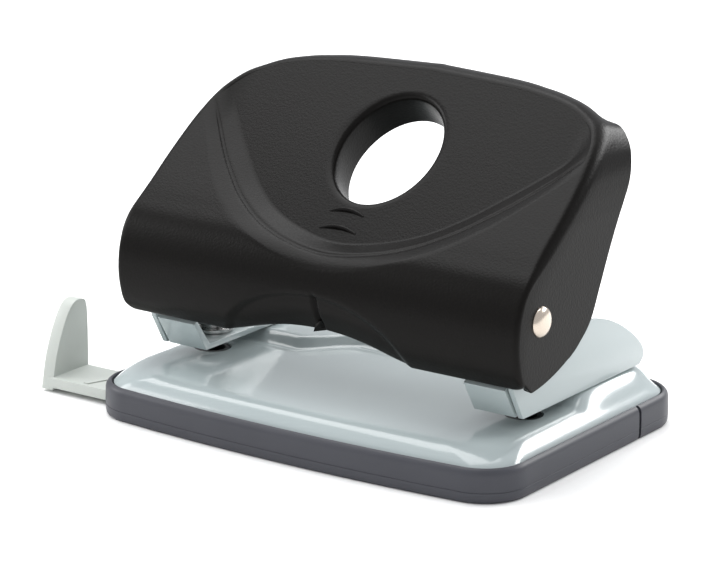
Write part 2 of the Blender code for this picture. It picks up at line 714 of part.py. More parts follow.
def make_chip_tray():
    """Soft tray that clips under the base: floor pockets, a guide channel and two slits."""
    outside = [(0.7, 0.0), (0.2, 0.5), (0.0, 1.4), (0.0, TRAY_HEIGHT - 0.6), (0.5, TRAY_HEIGHT)]
    shell = lofted([level(base_plan(inset), z) for inset, z in outside])
    tray = add("chip_tray", shell, GREY_PLASTIC, TRAY)
    inside = base_plan(TRAY_WALL)
    upper = lofted([level(inside, RIB_TOP), level(inside, TRAY_HEIGHT + 2)])
    combine(tray, tool("cut_tray_upper", upper, TRAY), "DIFFERENCE")
    pockets = lofted([level(inside, TRAY_FLOOR), level(inside, RIB_TOP + 0.5)])
    channel_front, channel_back = GUIDE_FRONT_Y - 0.4, GUIDE_BACK_Y + 0.4
    ribs = merged(
        box((-60, channel_front - 1.0, 0), (60, channel_front, 9)),
        box((-60, channel_back, 0), (60, channel_back + 1.0, 9)),
    )
    pocket_tool = tool("cut_tray_pockets", pockets, TRAY)
    combine(pocket_tool, tool("keep_tray_ribs", ribs, TRAY), "DIFFERENCE")
    combine(tray, pocket_tool, "DIFFERENCE")
    window = box((-60, GUIDE_FRONT_Y - GAP, TRAY_FLOOR), (-50, GUIDE_BACK_Y + GAP, GUIDE_TOP + GAP))
    slits = [
        box((side * TRAY_HALF_WIDTH - 1.6, 18.4, -1), (side * TRAY_HALF_WIDTH + 1.6, 19.5, 9))
        for side in (-1, 1)
    ]
    combine(tray, tool("cut_tray_openings", merged(window, *slits), TRAY), "DIFFERENCE")


def make_paper_guide():
    """Flat sliding bar with an upright end stop, a small foot and a lug at its inner end."""
    inner_face = GUIDE_OUTER_X + GUIDE_THICKNESS
    bar = box((inner_face - 1.0, GUIDE_FRONT_Y, GUIDE_BOTTOM), (GUIDE_INNER_END, GUIDE_BACK_Y, GUIDE_TOP))
    guide = add("paper_guide", bar, PALE_PLASTIC, GUIDE)
    sail = smooth([(GUIDE_FRONT_Y, 0.5), (-27.6, 8.0), (-24.4, 15.2), (-21.6, 18.6), (-18.6, GUIDE_HEIGHT),
                   (-17.0, 17.0), (GUIDE_BACK_Y + 0.1, 8.0), (GUIDE_BACK_Y, 0.5)], 3)
    upright = prism(sail, "X", GUIDE_OUTER_X, inner_face)
    combine(guide, tool("join_guide_upright", upright, GUIDE), "UNION")
    lug = box((GUIDE_INNER_END - 2.5, -25.0, GUIDE_TOP - 1), (GUIDE_INNER_END, -21.0, GUIDE_TOP + 1.4))
    combine(guide, tool("join_guide_lug", lug, GUIDE), "UNION")


# ---------------------------------------------------------------- assembly

clear_scene()

PAINTED_STEEL = material("pale blue-grey paint on steel", (0.60, 0.67, 0.69), 0.25)
STEEL = material("bright steel", (0.62, 0.61, 0.60), 0.25, 1.0)
DIE_STEEL = material("hardened black steel", (0.05, 0.05, 0.05), 0.4, 1.0)
ZINC_STEEL = material("zinc-plated steel", (0.55, 0.56, 0.58), 0.35, 1.0)
NICKEL = material("nickel plate", (0.66, 0.62, 0.57), 0.18, 1.0)
BLACK_PLASTIC = material("black moulded ABS", (0.022, 0.021, 0.020), 0.38)
GREY_PLASTIC = material("dark grey soft polythene", (0.09, 0.09, 0.105), 0.45)
PALE_PLASTIC = material("pale grey moulded plastic", (0.58, 0.60, 0.57), 0.4)
WHITE_PLASTIC = material("white nylon", (0.8, 0.8, 0.78), 0.45)

ROOT = pivot("base")
TRAY = pivot("tray_slide")
GUIDE = pivot("guide_slide", (GUIDE_OUTER_X, GUIDE_FRONT_Y, GUIDE_BOTTOM), TRAY)
DATUM_POINT = pivot("mechanism_datum", DATUM)
MECHANISM = pivot("mechanism", (0.0, 0.0, 0.0), DATUM_POINT)
HANDLE = pivot("handle_axis", (0.0, AXLE_Y, AXLE_Z), DATUM_POINT)

make_base_plate()
make_handle_cover()
make_lever_plate()
make_axle()
make_chip_tray()
make_paper_guide()
for hand, word in ((-1, "left"), (1, "right")):
    make_bracket(word + "_bracket", hand)
    make_die(word + "_die", hand)
    make_pin_guide(word + "_pin_guide", hand)
    make_pivot_washer(word + "_pivot_washer", hand)
    make_cover_screw(word + "_cover_screw", hand)
    make_pin_group(word, hand)
    for end, rivet_y in RIVET_YS.items():
        make_bracket_rivet(f"{word}_bracket_rivet_{end}", hand, rivet_y)
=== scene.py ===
"""Finished look of a two-hole desk punch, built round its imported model.

Lengths in this script are in millimetres and MM turns them into metres. +X is to the user's
right, +Y points away from the user and +Z is up; the desk is at z = 0.
"""

import math

import bmesh
import bpy
import numpy as np
from mathutils import Matrix, Vector


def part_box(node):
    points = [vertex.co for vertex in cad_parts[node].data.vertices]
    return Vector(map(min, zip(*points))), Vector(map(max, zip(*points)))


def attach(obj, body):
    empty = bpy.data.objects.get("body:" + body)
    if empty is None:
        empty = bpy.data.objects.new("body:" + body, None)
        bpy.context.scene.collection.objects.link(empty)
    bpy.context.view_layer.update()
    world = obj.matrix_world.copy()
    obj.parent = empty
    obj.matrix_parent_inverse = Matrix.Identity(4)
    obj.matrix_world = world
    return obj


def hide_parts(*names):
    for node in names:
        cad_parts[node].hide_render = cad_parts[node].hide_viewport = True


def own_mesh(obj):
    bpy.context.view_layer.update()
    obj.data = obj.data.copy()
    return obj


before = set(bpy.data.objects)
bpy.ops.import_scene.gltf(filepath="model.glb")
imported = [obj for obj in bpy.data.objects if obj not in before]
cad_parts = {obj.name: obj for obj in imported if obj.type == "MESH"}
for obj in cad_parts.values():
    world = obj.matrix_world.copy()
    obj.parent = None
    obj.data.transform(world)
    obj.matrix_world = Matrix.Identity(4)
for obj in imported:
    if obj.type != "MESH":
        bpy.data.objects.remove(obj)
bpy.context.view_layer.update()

MM = 0.001


# ---------------------------------------------------------------- places from the frame


def box_mm(node):
    """A node's lowest and highest corners in millimetres."""
    low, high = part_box(node)
    return np.array(low) / MM, np.array(high) / MM


def middle(node):
    """The middle of a node's box in millimetres."""
    low, high = box_mm(node)
    return (low + high) / 2


TRAY_LOW, TRAY_HIGH = box_mm("chip_tray")
PLATE_LOW, PLATE_HIGH = box_mm("base_plate")
COVER_HIGH = box_mm("handle_cover")[1]
AXLE = middle("axle")
PIN_X, PIN_Y, _ = middle("right_punch_pin")


# ---------------------------------------------------------------- numpy surfaces


def smoothstep(value, start, end):
    """0 before start, 1 after end, and 3t^2 - 2t^3 between them."""
    t = np.clip((value - start) / (end - start), 0.0, 1.0)
    return t * t * (3.0 - 2.0 * t)


def spline(points, count):
    """Catmull-Rom curve through the points, read at count places that are evenly far apart."""
    points = np.asarray(points, float)
    padded = np.vstack([2 * points[0] - points[1], points, 2 * points[-1] - points[-2]])
    t = np.linspace(0.0, 1.0, 24, endpoint=False)[:, None]
    spans = []
    for p0, p1, p2, p3 in zip(padded, padded[1:], padded[2:], padded[3:]):
        spans.append(0.5 * (2 * p1 + (p2 - p0) * t + (2 * p0 - 5 * p1 + 4 * p2 - p3) * t**2
                            + (3 * p1 - p0 - 3 * p2 + p3) * t**3))
    dense = np.vstack(spans + [points[-1:]])
    return evenly(dense, count)


def evenly(line, count, closed=False, weight=None):
    """The same line read at count places, evenly far apart or closer where the weight is higher."""
    if closed:
        line = np.vstack([line, line[:1]])
    step = np.linalg.norm(np.diff(line, axis=0), axis=1)
    if weight is not None:
        step *= weight
    walked = np.concatenate([[0.0], np.cumsum(step)])
    at = np.linspace(0.0, walked[-1], count, endpoint=not closed)
    return np.stack([np.interp(at, walked, column) for column in line.T], axis=1)


def grid_quads(rows, columns, wrap):
    """Corner numbers of the quads of a rows x columns grid; wrap joins its last column to its first."""
    row, column = np.meshgrid(np.arange(rows - 1), np.arange(columns - (not wrap)), indexing="ij")
    after = (column + 1) % columns
    quads = [row * columns + column, row * columns + after,
             (row + 1) * columns + after, (row + 1) * columns + column]
    return np.stack(quads, axis=-1).reshape(-1, 4)


def mesh_piece(name, body, finish, points, quads, fans=()):
    """A smooth-shaded piece from points in millimetres, quads, and fans of triangles."""
    points = np.ascontiguousarray(points.reshape(-1, 3), np.float32) * MM
    fans = [np.asarray(fan, np.int32).reshape(-1, 3) for fan in fans]
    triangles = np.vstack(fans) if fans else np.empty((0, 3), np.int32)
    corners = np.concatenate([quads.ravel(), triangles.ravel()]).astype(np.int32)
    sizes = np.concatenate([np.full(len(quads), 4), np.full(len(triangles), 3)]).astype(np.int32)
    mesh = bpy.data.meshes.new(name)
    mesh.vertices.add(len(points))
    mesh.vertices.foreach_set("co", points.ravel())
    mesh.loops.add(len(corners))
    mesh.loops.foreach_set("vertex_index", corners)
    mesh.polygons.add(len(sizes))
    mesh.polygons.foreach_set("loop_start", np.concatenate([[0], np.cumsum(sizes)[:-1]]).astype(np.int32))
    mesh.update(calc_edges=True)
    mesh.validate()
    return finish_piece(name, mesh, body, finish)


def shade(mesh, crease=35):
    """Smooth shading, with an edge kept sharp where its faces turn by more than crease degrees."""
    mesh.shade_smooth()
    mesh.set_sharp_from_angle(angle=math.radians(crease))


def finish_piece(name, mesh, body, finish):
    """Links a mesh as a piece that rides on a body and takes a finish."""
    shade(mesh)
    mesh.materials.clear()
    mesh.materials.append(finish)
    piece = bpy.data.objects.new(name, mesh)
    bpy.context.scene.collection.objects.link(piece)
    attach(piece, body)
    return piece


def fan(centre, ring):
    """Triangles from one point to each side of a ring of points."""
    ring = np.asarray(ring)
    return np.stack([np.full(len(ring), centre), ring, np.roll(ring, -1)], axis=1)


def face_outwards(piece):
    """Turns a closed mesh's faces so that they all point out."""
    bm = bmesh.new()
    bm.from_mesh(piece.data)
    bmesh.ops.recalc_face_normals(bm, faces=bm.faces)
    bm.to_mesh(piece.data)
    bm.free()


def cutter(name, points, quads, fans):
    """A closed helper shape that a Boolean takes away from a piece."""
    mesh = bpy.data.meshes.new(name)
    faces = quads.tolist() + np.vstack(fans).tolist()
    mesh.from_pydata((points * MM).tolist(), [], faces)
    helper = bpy.data.objects.new(name, mesh)
    bpy.context.scene.collection.objects.link(helper)
    helper.hide_render = True
    helper.hide_viewport = True
    face_outwards(helper)
    return helper


def cut(piece, helper):
    """Takes the helper's shape away from the piece and keeps the result as the piece's mesh."""
    modifier = piece.modifiers.new(helper.name, "BOOLEAN")
    modifier.operation = "DIFFERENCE"
    modifier.object = helper
    modifier.solver = "EXACT"
    keep_modifiers(piece)
    bpy.data.objects.remove(helper)


def keep_modifiers(piece):
    """Replaces a piece's mesh by what its modifiers make of it."""
    bpy.context.view_layer.update()
    made = piece.evaluated_get(bpy.context.evaluated_depsgraph_get())
    mesh = bpy.data.meshes.new_from_object(made)
    piece.modifiers.clear()
    piece.data = mesh


def prism_points(outline, low, high, axis=2):
    """An outline pushed from low to high along an axis, with its quads and end fans."""
    outline = np.asarray(outline, float)
    count = len(outline)
    rings = np.insert(np.concatenate([outline, outline]), axis, np.repeat([low, high], count), axis=1)
    ends = np.insert(np.tile(outline.mean(axis=0), (2, 1)), axis, [low, high], axis=1)
    points = np.vstack([rings, ends])
    ring = np.arange(count)
    return points, grid_quads(2, count, True), [fan(2 * count, ring), fan(2 * count + 1, ring + count)]


def ellipse(centre, half_u, half_v, count):
    """Points on an ellipse: u = half_u cos a, v = half_v sin a, about the centre."""
    angle = np.linspace(0.0, 2 * math.pi, count, endpoint=False)
    return np.stack([centre[0] + half_u * np.cos(angle), centre[1] + half_v * np.sin(angle)], axis=1)


def turned(name, body, finish, profile, centre, axis="Z", flip=1, steps=72):
    """A profile of (radius, place along the axis) spun about the axis: u = r cos a, v = r sin a.

    A profile that starts away from the axis is closed from its last point to its first, as a ring.
    """
    profile = np.asarray(profile, float)
    angle = np.linspace(0.0, 2 * math.pi, steps, endpoint=False)
    radius, along = profile[:, :1], np.repeat(profile[:, 1:2], steps, axis=1) * flip
    ring_u, ring_v = radius * np.cos(angle), radius * np.sin(angle)
    order = (ring_u, ring_v, along) if axis == "Z" else (along, ring_u, ring_v)
    points = np.stack(order, axis=-1) + np.asarray(centre, float)
    rows = len(profile)
    quads = grid_quads(rows, steps, True)
    if profile[0, 0] > 0:
        last = grid_quads(2, steps, True)
        last[:, 2:] -= steps
        last[:, :2] += (rows - 1) * steps
        quads = np.vstack([quads, last])
    piece = mesh_piece(name, body, finish, points, quads)
    merge_and_face(piece)
    return piece


def merge_and_face(piece, distance=1e-6):
    """Joins points closer than distance in metres, drops what collapsed, and turns the faces out."""
    bm = bmesh.new()
    bm.from_mesh(piece.data)
    bmesh.ops.remove_doubles(bm, verts=bm.verts, dist=distance)
    bmesh.ops.dissolve_degenerate(bm, edges=bm.edges, dist=distance)
    bmesh.ops.recalc_face_normals(bm, faces=bm.faces)
    bm.to_mesh(piece.data)
    bm.free()
    shade(piece.data)


def softened_copy(node, body, finish, width, segments=3):
    """A copy of a node's solid whose sharp edges are rounded by a Bevel of the given width."""
    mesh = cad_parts[node].data.copy()
    piece = finish_piece(node + "_shell", mesh, body, finish)
    bm = bmesh.new()
    bm.from_mesh(mesh)
    bmesh.ops.remove_doubles(bm, verts=bm.verts, dist=2e-6)
    bmesh.ops.dissolve_limit(bm, angle_limit=math.radians(1), verts=bm.verts, edges=bm.edges)
    bmesh.ops.recalc_face_normals(bm, faces=bm.faces)
    bm.to_mesh(mesh)
    bm.free()
    bevel = piece.modifiers.new("edges", "BEVEL")
    bevel.width = width * MM
    bevel.segments = segments
    bevel.limit_method = "ANGLE"
    bevel.angle_limit = math.radians(32)
    keep_modifiers(piece)
    shade(piece.data)
    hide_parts(node)


# ---------------------------------------------------------------- materials


def linear(code):
    """An sRGB hex colour as linear red, green, blue and alpha."""
    levels = [int(code[i : i + 2], 16) / 255 for i in (1, 3, 5)]
    return tuple(v / 12.92 if v <= 0.04045 else ((v + 0.055) / 1.055) ** 2.4 for v in levels) + (1.0,)


def node(tree, kind, settings=None, **links):
    """Adds a shader node, sets its settings and inputs, and links its inputs to other outputs.

    A link is given by the input's name, or as i0, i1 and so on where the name isn't its own.
    """
    made = tree.nodes.new(kind)
    for key, value in (settings or {}).items():
        if hasattr(made, key):
            setattr(made, key, value)
        else:
            made.inputs[key].default_value = value
    for key, output in links.items():
        target = int(key[1:]) if key[1:].isdigit() else key.replace("_", " ")
        tree.links.new(output, made.inputs[target])
    return made


def new_finish(name, **sockets):
    """A material with one Principled shader whose uniform values sit on its own sockets."""
    made = bpy.data.materials.new(name)
    made.use_nodes = True
    tree = made.node_tree
    shader = tree.nodes["Principled BSDF"]
    for key, value in sockets.items():
        shader.inputs[key.replace("_", " ")].default_value = value
    place = tree.nodes.new("ShaderNodeTexCoord").outputs["Object"]
    return made, tree, shader, place


def per_metre(size_mm):
    """Texture scale, in repeats a metre, of a pattern whose features are size_mm across."""
    return 1.0 / (size_mm * MM)


def two_tone(tree, factor, low, high):
    """Colour that goes from low to high with a factor."""
    mix = node(tree, "ShaderNodeMix", {"data_type": "RGBA"}, i0=factor)
    mix.inputs[6].default_value = linear(low)
    mix.inputs[7].default_value = linear(high)
    return mix.outputs[2]


def spread(tree, factor, low, high):
    """Maps a factor of 0 to 1 onto low to high."""
    return node(tree, "ShaderNodeMapRange", {"To Min": low, "To Max": high}, Value=factor).outputs[0]


def moulded_abs():
    """Black injection-moulded ABS from a spark-eroded mould: a dull satin skin with a grain and
    pits of about 0.5 mm, and faint broad flow marks."""
    made, tree, shader, place = new_finish("black moulded ABS", IOR=1.54, Specular_IOR_Level=0.09)
    grain_look = {"Scale": per_metre(0.42), "Detail": 2.0, "Roughness": 0.55}
    grain = node(tree, "ShaderNodeTexNoise", grain_look, Vector=place)
    pits = node(tree, "ShaderNodeTexVoronoi", {"Scale": per_metre(0.55)}, Vector=place)
    flow = node(tree, "ShaderNodeTexNoise", {"Scale": per_metre(38), "Detail": 3.0}, Vector=place)
    skin = node(tree, "ShaderNodeMath", {"operation": "ADD"},
                i0=grain.outputs[0], i1=pits.outputs["Distance"])
    bump = node(tree, "ShaderNodeBump", {"Strength": 0.35, "Distance": 0.00005}, Height=skin.outputs[0])
    tree.links.new(two_tone(tree, flow.outputs[0], "#0C0B0A", "#12100E"), shader.inputs["Base Color"])
    tree.links.new(spread(tree, grain.outputs[0], 0.26, 0.38), shader.inputs["Roughness"])
    tree.links.new(bump.outputs[0], shader.inputs["Normal"])
    return made


def stove_enamel():
    """Stoved enamel paint on pressed steel: a glossy pale blue-grey under a clear skin, with a
    slight orange peel of about 3 mm and a faintly cloudy tone."""
    made, tree, shader, place = new_finish("pale blue-grey stove enamel", IOR=1.5,
                                           Coat_Weight=0.35, Coat_Roughness=0.05)
    peel = node(tree, "ShaderNodeTexNoise", {"Scale": per_metre(3.2), "Detail": 1.0}, Vector=place)
    cloud = node(tree, "ShaderNodeTexNoise", {"Scale": per_metre(30), "Detail": 2.0}, Vector=place)
    bump = node(tree, "ShaderNodeBump", {"Strength": 0.10, "Distance": 0.00012}, Height=peel.outputs[0])
    tree.links.new(two_tone(tree, cloud.outputs[0], "#A6B1B2", "#AFB9B9"), shader.inputs["Base Color"])
    tree.links.new(spread(tree, cloud.outputs[0], 0.14, 0.18), shader.inputs["Roughness"])
    tree.links.new(bump.outputs[0], shader.inputs["Normal"])
    return made


def soft_polythene():
    """Dark grey moulded polythene: soft satin, with a fine grain and hazy duller patches."""
    made, tree, shader, place = new_finish("dark grey moulded polythene", IOR=1.51, Specular_IOR_Level=0.3)
    grain = node(tree, "ShaderNodeTexNoise", {"Scale": per_metre(0.6), "Detail": 2.0}, Vector=place)
    haze = node(tree, "ShaderNodeTexNoise", {"Scale": per_metre(16), "Detail": 4.0}, Vector=place)
    bump = node(tree, "ShaderNodeBump", {"Strength": 0.25, "Distance": 0.00004}, Height=grain.outputs[0])
    tree.links.new(two_tone(tree, haze.outputs[0], "#3D3E44", "#47484E"), shader.inputs["Base Color"])
    tree.links.new(spread(tree, haze.outputs[0], 0.36, 0.48), shader.inputs["Roughness"])
    tree.links.new(bump.outputs[0], shader.inputs["Normal"])
    return made


def pale_abs():
    """Pale grey moulded ABS: a smooth satin that light enters a little, with faint sink marks."""
    made, tree, shader, place = new_finish("pale grey moulded ABS", IOR=1.54, Subsurface_Weight=0.12)
    shader.inputs["Subsurface Radius"].default_value = (0.0012, 0.0012, 0.001)
    sink = node(tree, "ShaderNodeTexNoise", {"Scale": per_metre(9), "Detail": 2.0}, Vector=place)
    grain = node(tree, "ShaderNodeTexNoise", {"Scale": per_metre(0.5), "Detail": 1.0}, Vector=place)
    bump = node(tree, "ShaderNodeBump", {"Strength": 0.2, "Distance": 0.00003}, Height=grain.outputs[0])
    tree.links.new(two_tone(tree, sink.outputs[0], "#B4B9B4", "#BDC2BC"), shader.inputs["Base Color"])
    tree.links.new(spread(tree, sink.outputs[0], 0.34, 0.44), shader.inputs["Roughness"])
    tree.links.new(bump.outputs[0], shader.inputs["Normal"])
    return made


def worked_metal(name, low, high, dull, bright, stretch=(1.0, 1.0, 1.0)):
    """Bare or plated metal: fine tool marks, longest along the axis with the least stretch value,
    and a cloudy sheen. Its roughness goes from bright to dull."""
    made, tree, shader, place = new_finish(name, Metallic=1.0)
    along = node(tree, "ShaderNodeMapping", {"Scale": stretch}, Vector=place)
    marks = node(tree, "ShaderNodeTexNoise", {"Scale": per_metre(0.25), "Detail": 2.0},
                 Vector=along.outputs[0])
    cloud = node(tree, "ShaderNodeTexNoise", {"Scale": per_metre(4), "Detail": 3.0}, Vector=place)
    bump = node(tree, "ShaderNodeBump", {"Strength": 0.15, "Distance": 0.00002}, Height=marks.outputs[0])
    tree.links.new(two_tone(tree, cloud.outputs[0], low, high), shader.inputs["Base Color"])
    tree.links.new(spread(tree, marks.outputs[0], bright, dull), shader.inputs["Roughness"])
    tree.links.new(bump.outputs[0], shader.inputs["Normal"])
    return made


def natural_nylon():
    """Natural nylon washer: milky white and waxy."""
    made, tree, shader, place = new_finish("natural nylon", IOR=1.53, Subsurface_Weight=0.2)
    shader.inputs["Subsurface Radius"].default_value = (0.001, 0.001, 0.001)
    wax = node(tree, "ShaderNodeTexNoise", {"Scale": per_metre(2), "Detail": 2.0}, Vector=place)
    tree.links.new(two_tone(tree, wax.outputs[0], "#DEDCD2", "#EAE8E0"), shader.inputs["Base Color"])
    tree.links.new(spread(tree, wax.outputs[0], 0.38, 0.5), shader.inputs["Roughness"])
    return made


BLACK = moulded_abs()
ENAMEL = stove_enamel()
TRAY_GREY = soft_polythene()
PALE = pale_abs()
NYLON = natural_nylon()
# Nickel plate over a cold-formed head: warm and bright, with faint marks of the forming tool.
NICKEL = worked_metal("nickel-plated rivet", "#CBBEB0", "#D8CDBF", 0.30, 0.16)
# Ground steel of the pins, springs and bushes: bright, with fine marks across the upright axis.
STEEL = worked_metal("ground steel", "#B9B9B8", "#C8C8C6", 0.30, 0.14, (1.0, 1.0, 6.0))
# Zinc plate on a stamped strip: greyer and duller, with marks along the strip.
ZINC = worked_metal("zinc-plated steel", "#A9ABAE", "#BBBDC0", 0.42, 0.24, (0.2, 1.0, 1.0))
# Oil-blackened die steel: dark, with a soft sheen.
BLACKED = worked_metal("blackened die steel", "#2B2B2C", "#39393A", 0.5, 0.32)


# ---------------------------------------------------------------- handle cover

# Side outlines of the cover, as (y, z) from the axle's centre, from the front tip upwards.
FRONT_LINE = [(-5.5, -13.7), (-7.9, -9.8), (-9.1, -3.8), (-8.3, 2.4), (-5.7, 7.5), (-0.9, 11.8),
              (7.1, 18.0), (16.7, 25.3), (25.7, 32.1), (32.7, 37.4), (38.0, 41.4)]
BACK_LINE = [(-3.7, -14.2), (0.4, -13.7), (4.1, -12.9), (7.9, -11.6), (11.8, -10.0), (14.8, -8.2),
             (19.3, -4.2), (22.9, 2.8), (26.5, 10.1), (30.1, 16.5), (33.8, 21.9), (35.6, 26.2),
             (38.6, 33.8), (38.9, 37.6)]
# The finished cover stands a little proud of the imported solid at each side.
HALF_WIDTH = COVER_HIGH[0] + 0.9
# Radius of the cover's lower corners.
LOW_CORNER = 3.0
# The cover's upper edge before it is rounded, as (x, z from the axle), from the middle outwards.
CREST = [(0.0, 40.5), (20.0, 39.9), (28.0, 39.3), (33.0, 38.7), (38.0, 37.7), (43.0, 35.8),
         (46.0, 33.4), (48.3, 29.9), (49.6, 26.0), (50.2, 22.0), (HALF_WIDTH, 17.5)]
# Way in which the top edge's rounding ends, as (y, z): backwards and a little down.
LEVEL = (0.95, -0.31)
WALL = 2.0
# The sunk panel's tilt, and its oval finger hole: centre as (y, z) from the axle, half axes, the
# rounding of its rim and the depth of its collar.
PANEL_SLOPE = math.radians(41.5)
HOLE = (19.3, 24.4)
HOLE_HALF = (11.7, 13.9)
RIM_ROUND = 1.35
COLLAR_DEPTH = 8.5
# Distance up the panel from the hole, of the panel's lower edge, against distance from the middle.
PANEL_EDGE = [(0.0, -24.8), (10.0, -23.0), (18.9, -19.3), (26.4, -13.7), (33.0, -7.0),
              (38.5, -1.0), (45.0, 7.0), (49.5, 12.7), (54.0, 18.5)]
# Height of the ridge outside that edge, from the axle, against distance from the middle.
RIDGE_EDGE = [(0.0, 4.2), (5.2, 4.6), (10.4, 5.7), (13.9, 6.6), (20.7, 8.9), (28.0, 12.0),
              (34.8, 16.0), (40.0, 20.0), (46.6, 25.5), (50.3, 29.0), (54.0, 32.5)]
# Share of the way from the panel's edge to the ridge at which the wall meets its chamfer.
CREASE = 0.52
# The thumb scoop's half axes, and the arch under it.
SCOOP_HALF = (23.6, 13.9)
ARCH_HALF, ARCH_RISE = 22.0, 3.6
# Depth of the lower edge's turned-in lip, and the distance q below which the back edge is eased.
LIP = 1.6
EASED_UP_TO = 14.0


class Profile:
    """The cover's front line by the distance q walked up it from the tip, and its back line."""

    def __init__(self):
        self.line = spline(FRONT_LINE, 900)
        step = np.linalg.norm(np.diff(self.line, axis=0), axis=1)
        self.q = np.concatenate([[0.0], np.cumsum(step)])
        along = np.gradient(self.line, self.q, axis=0)
        self.along = along / np.linalg.norm(along, axis=1, keepdims=True)
        self.back = spline(BACK_LINE, 900)

    def at(self, q):
        """(y, z) places, upward tangents and outward normals at distances q."""
        place = np.stack([np.interp(q, self.q, self.line[:, k]) for k in (0, 1)], axis=-1)
        tangent = np.stack([np.interp(q, self.q, self.along[:, k]) for k in (0, 1)], axis=-1)
        tangent /= np.linalg.norm(tangent, axis=-1, keepdims=True)
        normal = np.stack([-tangent[..., 1], tangent[..., 0]], axis=-1)
        return place, tangent, normal

    def q_of_z(self, z):
        """Distance q at which the front line reaches height z."""
        return np.interp(z, self.line[:, 1], self.q)


PROFILE = Profile()
PANEL_UP = np.array([math.cos(PANEL_SLOPE), math.sin(PANEL_SLOPE)])
PANEL_OUT = np.array([-math.sin(PANEL_SLOPE), math.cos(PANEL_SLOPE)])


def panel_sink(q):
    """How far below the front line, along its normal, the flat panel's plane runs at distance q."""
    place, _, normal = PROFILE.at(q)
    return np.maximum(((place - HOLE) @ PANEL_OUT) / (normal @ PANEL_OUT), 0.0)


def panel_distance_table():
    """Distances q against distances up the panel from the hole."""
    q = PROFILE.q
    place, _, normal = PROFILE.at(q)
    on_panel = place - panel_sink(q)[:, None] * normal
    return (on_panel - HOLE) @ PANEL_UP, q


def ridge_share(x, q):
    """0 on the panel's lower edge, 1 on the ridge outside it, and in proportion elsewhere; and the
    distance q of the panel's edge."""
    up_panel, q_table = panel_distance_table()
    half = np.abs(x)
    edge_points = spline([(-10.0, -23.0), *PANEL_EDGE], 240)
    ridge_points = spline([(-5.2, 4.6), *RIDGE_EDGE], 240)
    q_edge = np.interp(np.interp(half, edge_points[:, 0], edge_points[:, 1]), up_panel, q_table)
    q_ridge = PROFILE.q_of_z(np.interp(half, ridge_points[:, 0], ridge_points[:, 1]))
    return (q_edge - q) / (q_edge - q_ridge), q_edge


def relief(x, q):
    """Height of the outer surface over the plain front line, along its normal.

    Inside the panel's edge it is the panel's plane. From the edge out to the ridge, m going from 0
    to 1, it rises in a wall, w m / CREASE, and then a chamfer, w + (1 - w) (1 - (1 - u)^1.15), with
    a crease d exp(-((m - CREASE) / 0.05)^2) between them. The thumb scoop is an ellipse at the
    lower edge with a soft step, split by a leaning groove g exp(-(x' / 0.5)^2).
    """
    wall_share, crease_deep, groove_deep, groove_half = 0.6, 0.42, 0.85, 0.5
    share, q_edge = ridge_share(x, q)
    m = np.clip(share, 0.0, 1.0)
    u = np.clip((m - CREASE) / (1.0 - CREASE), 0.0, 1.0)
    chamfer = wall_share + (1.0 - wall_share) * (1.0 - (1.0 - u) ** 1.15)
    rise = np.where(m < CREASE, wall_share * m / CREASE, chamfer)
    fade = 1.0 - 0.95 * smoothstep(np.abs(x), HALF_WIDTH - 9.0, HALF_WIDTH - 1.5)
    line = np.exp(-(((m - CREASE) / 0.05) ** 2))
    crease = crease_deep * line * smoothstep(panel_sink(q_edge), 0.2, 1.4)
    sink = np.where(share <= 0.0, panel_sink(q), panel_sink(q_edge) * (1.0 - rise) + crease)
    scoop = np.sqrt((x / SCOOP_HALF[0]) ** 2 + (q / SCOOP_HALF[1]) ** 2)
    step = 0.75 * smoothstep(scoop, 1.0, 0.9) + 1.9 * smoothstep(scoop, 0.97, 0.2)
    groove_x = x - 1.7 + 0.08 * q
    groove = groove_deep * np.exp(-((groove_x / groove_half) ** 2)) * smoothstep(scoop, 1.0, 0.93)
    return -(sink * fade + step + groove)


def cover_outline(count):
    """The cover's edge in (x, q): lower edge with its arch, round corners, upright sides and crest.

    The arch is ARCH_RISE (1 - (x / ARCH_HALF)^2)^1.2. Places are closest together at the thumb
    scoop's groove and a little closer than elsewhere along the lower edge.
    """
    end_x = HALF_WIDTH - LOW_CORNER
    x_low = np.linspace(-end_x, end_x, 400)
    arch = ARCH_RISE * np.clip(1.0 - (x_low / ARCH_HALF) ** 2, 0.0, 1.0) ** 1.2
    lower = np.stack([x_low, arch], axis=1)
    angle = np.linspace(0.0, math.pi / 2, 80)[1:]
    low_arc = np.stack([end_x + LOW_CORNER * np.sin(angle), LOW_CORNER * (1.0 - np.cos(angle))], axis=1)
    side_q = np.linspace(LOW_CORNER, PROFILE.q_of_z(CREST[-1][1]), 100)[1:]
    side = np.stack([np.full(len(side_q), HALF_WIDTH), side_q], axis=1)
    crest = spline(CREST, 240)[::-1][1:]
    crest[:, 1] = PROFILE.q_of_z(crest[:, 1])
    right = np.vstack([low_arc, side, crest])
    left = right[::-1][1:] * (-1.0, 1.0)
    line = np.vstack([lower, right, left[:-1]])
    at_groove = np.exp(-((line[:, 0] / 3.0) ** 2)) * (line[:, 1] < 20.0)
    return evenly(line, count, True, 1.0 + 2.5 * at_groove + 0.4 * (line[:, 1] < 6.0))


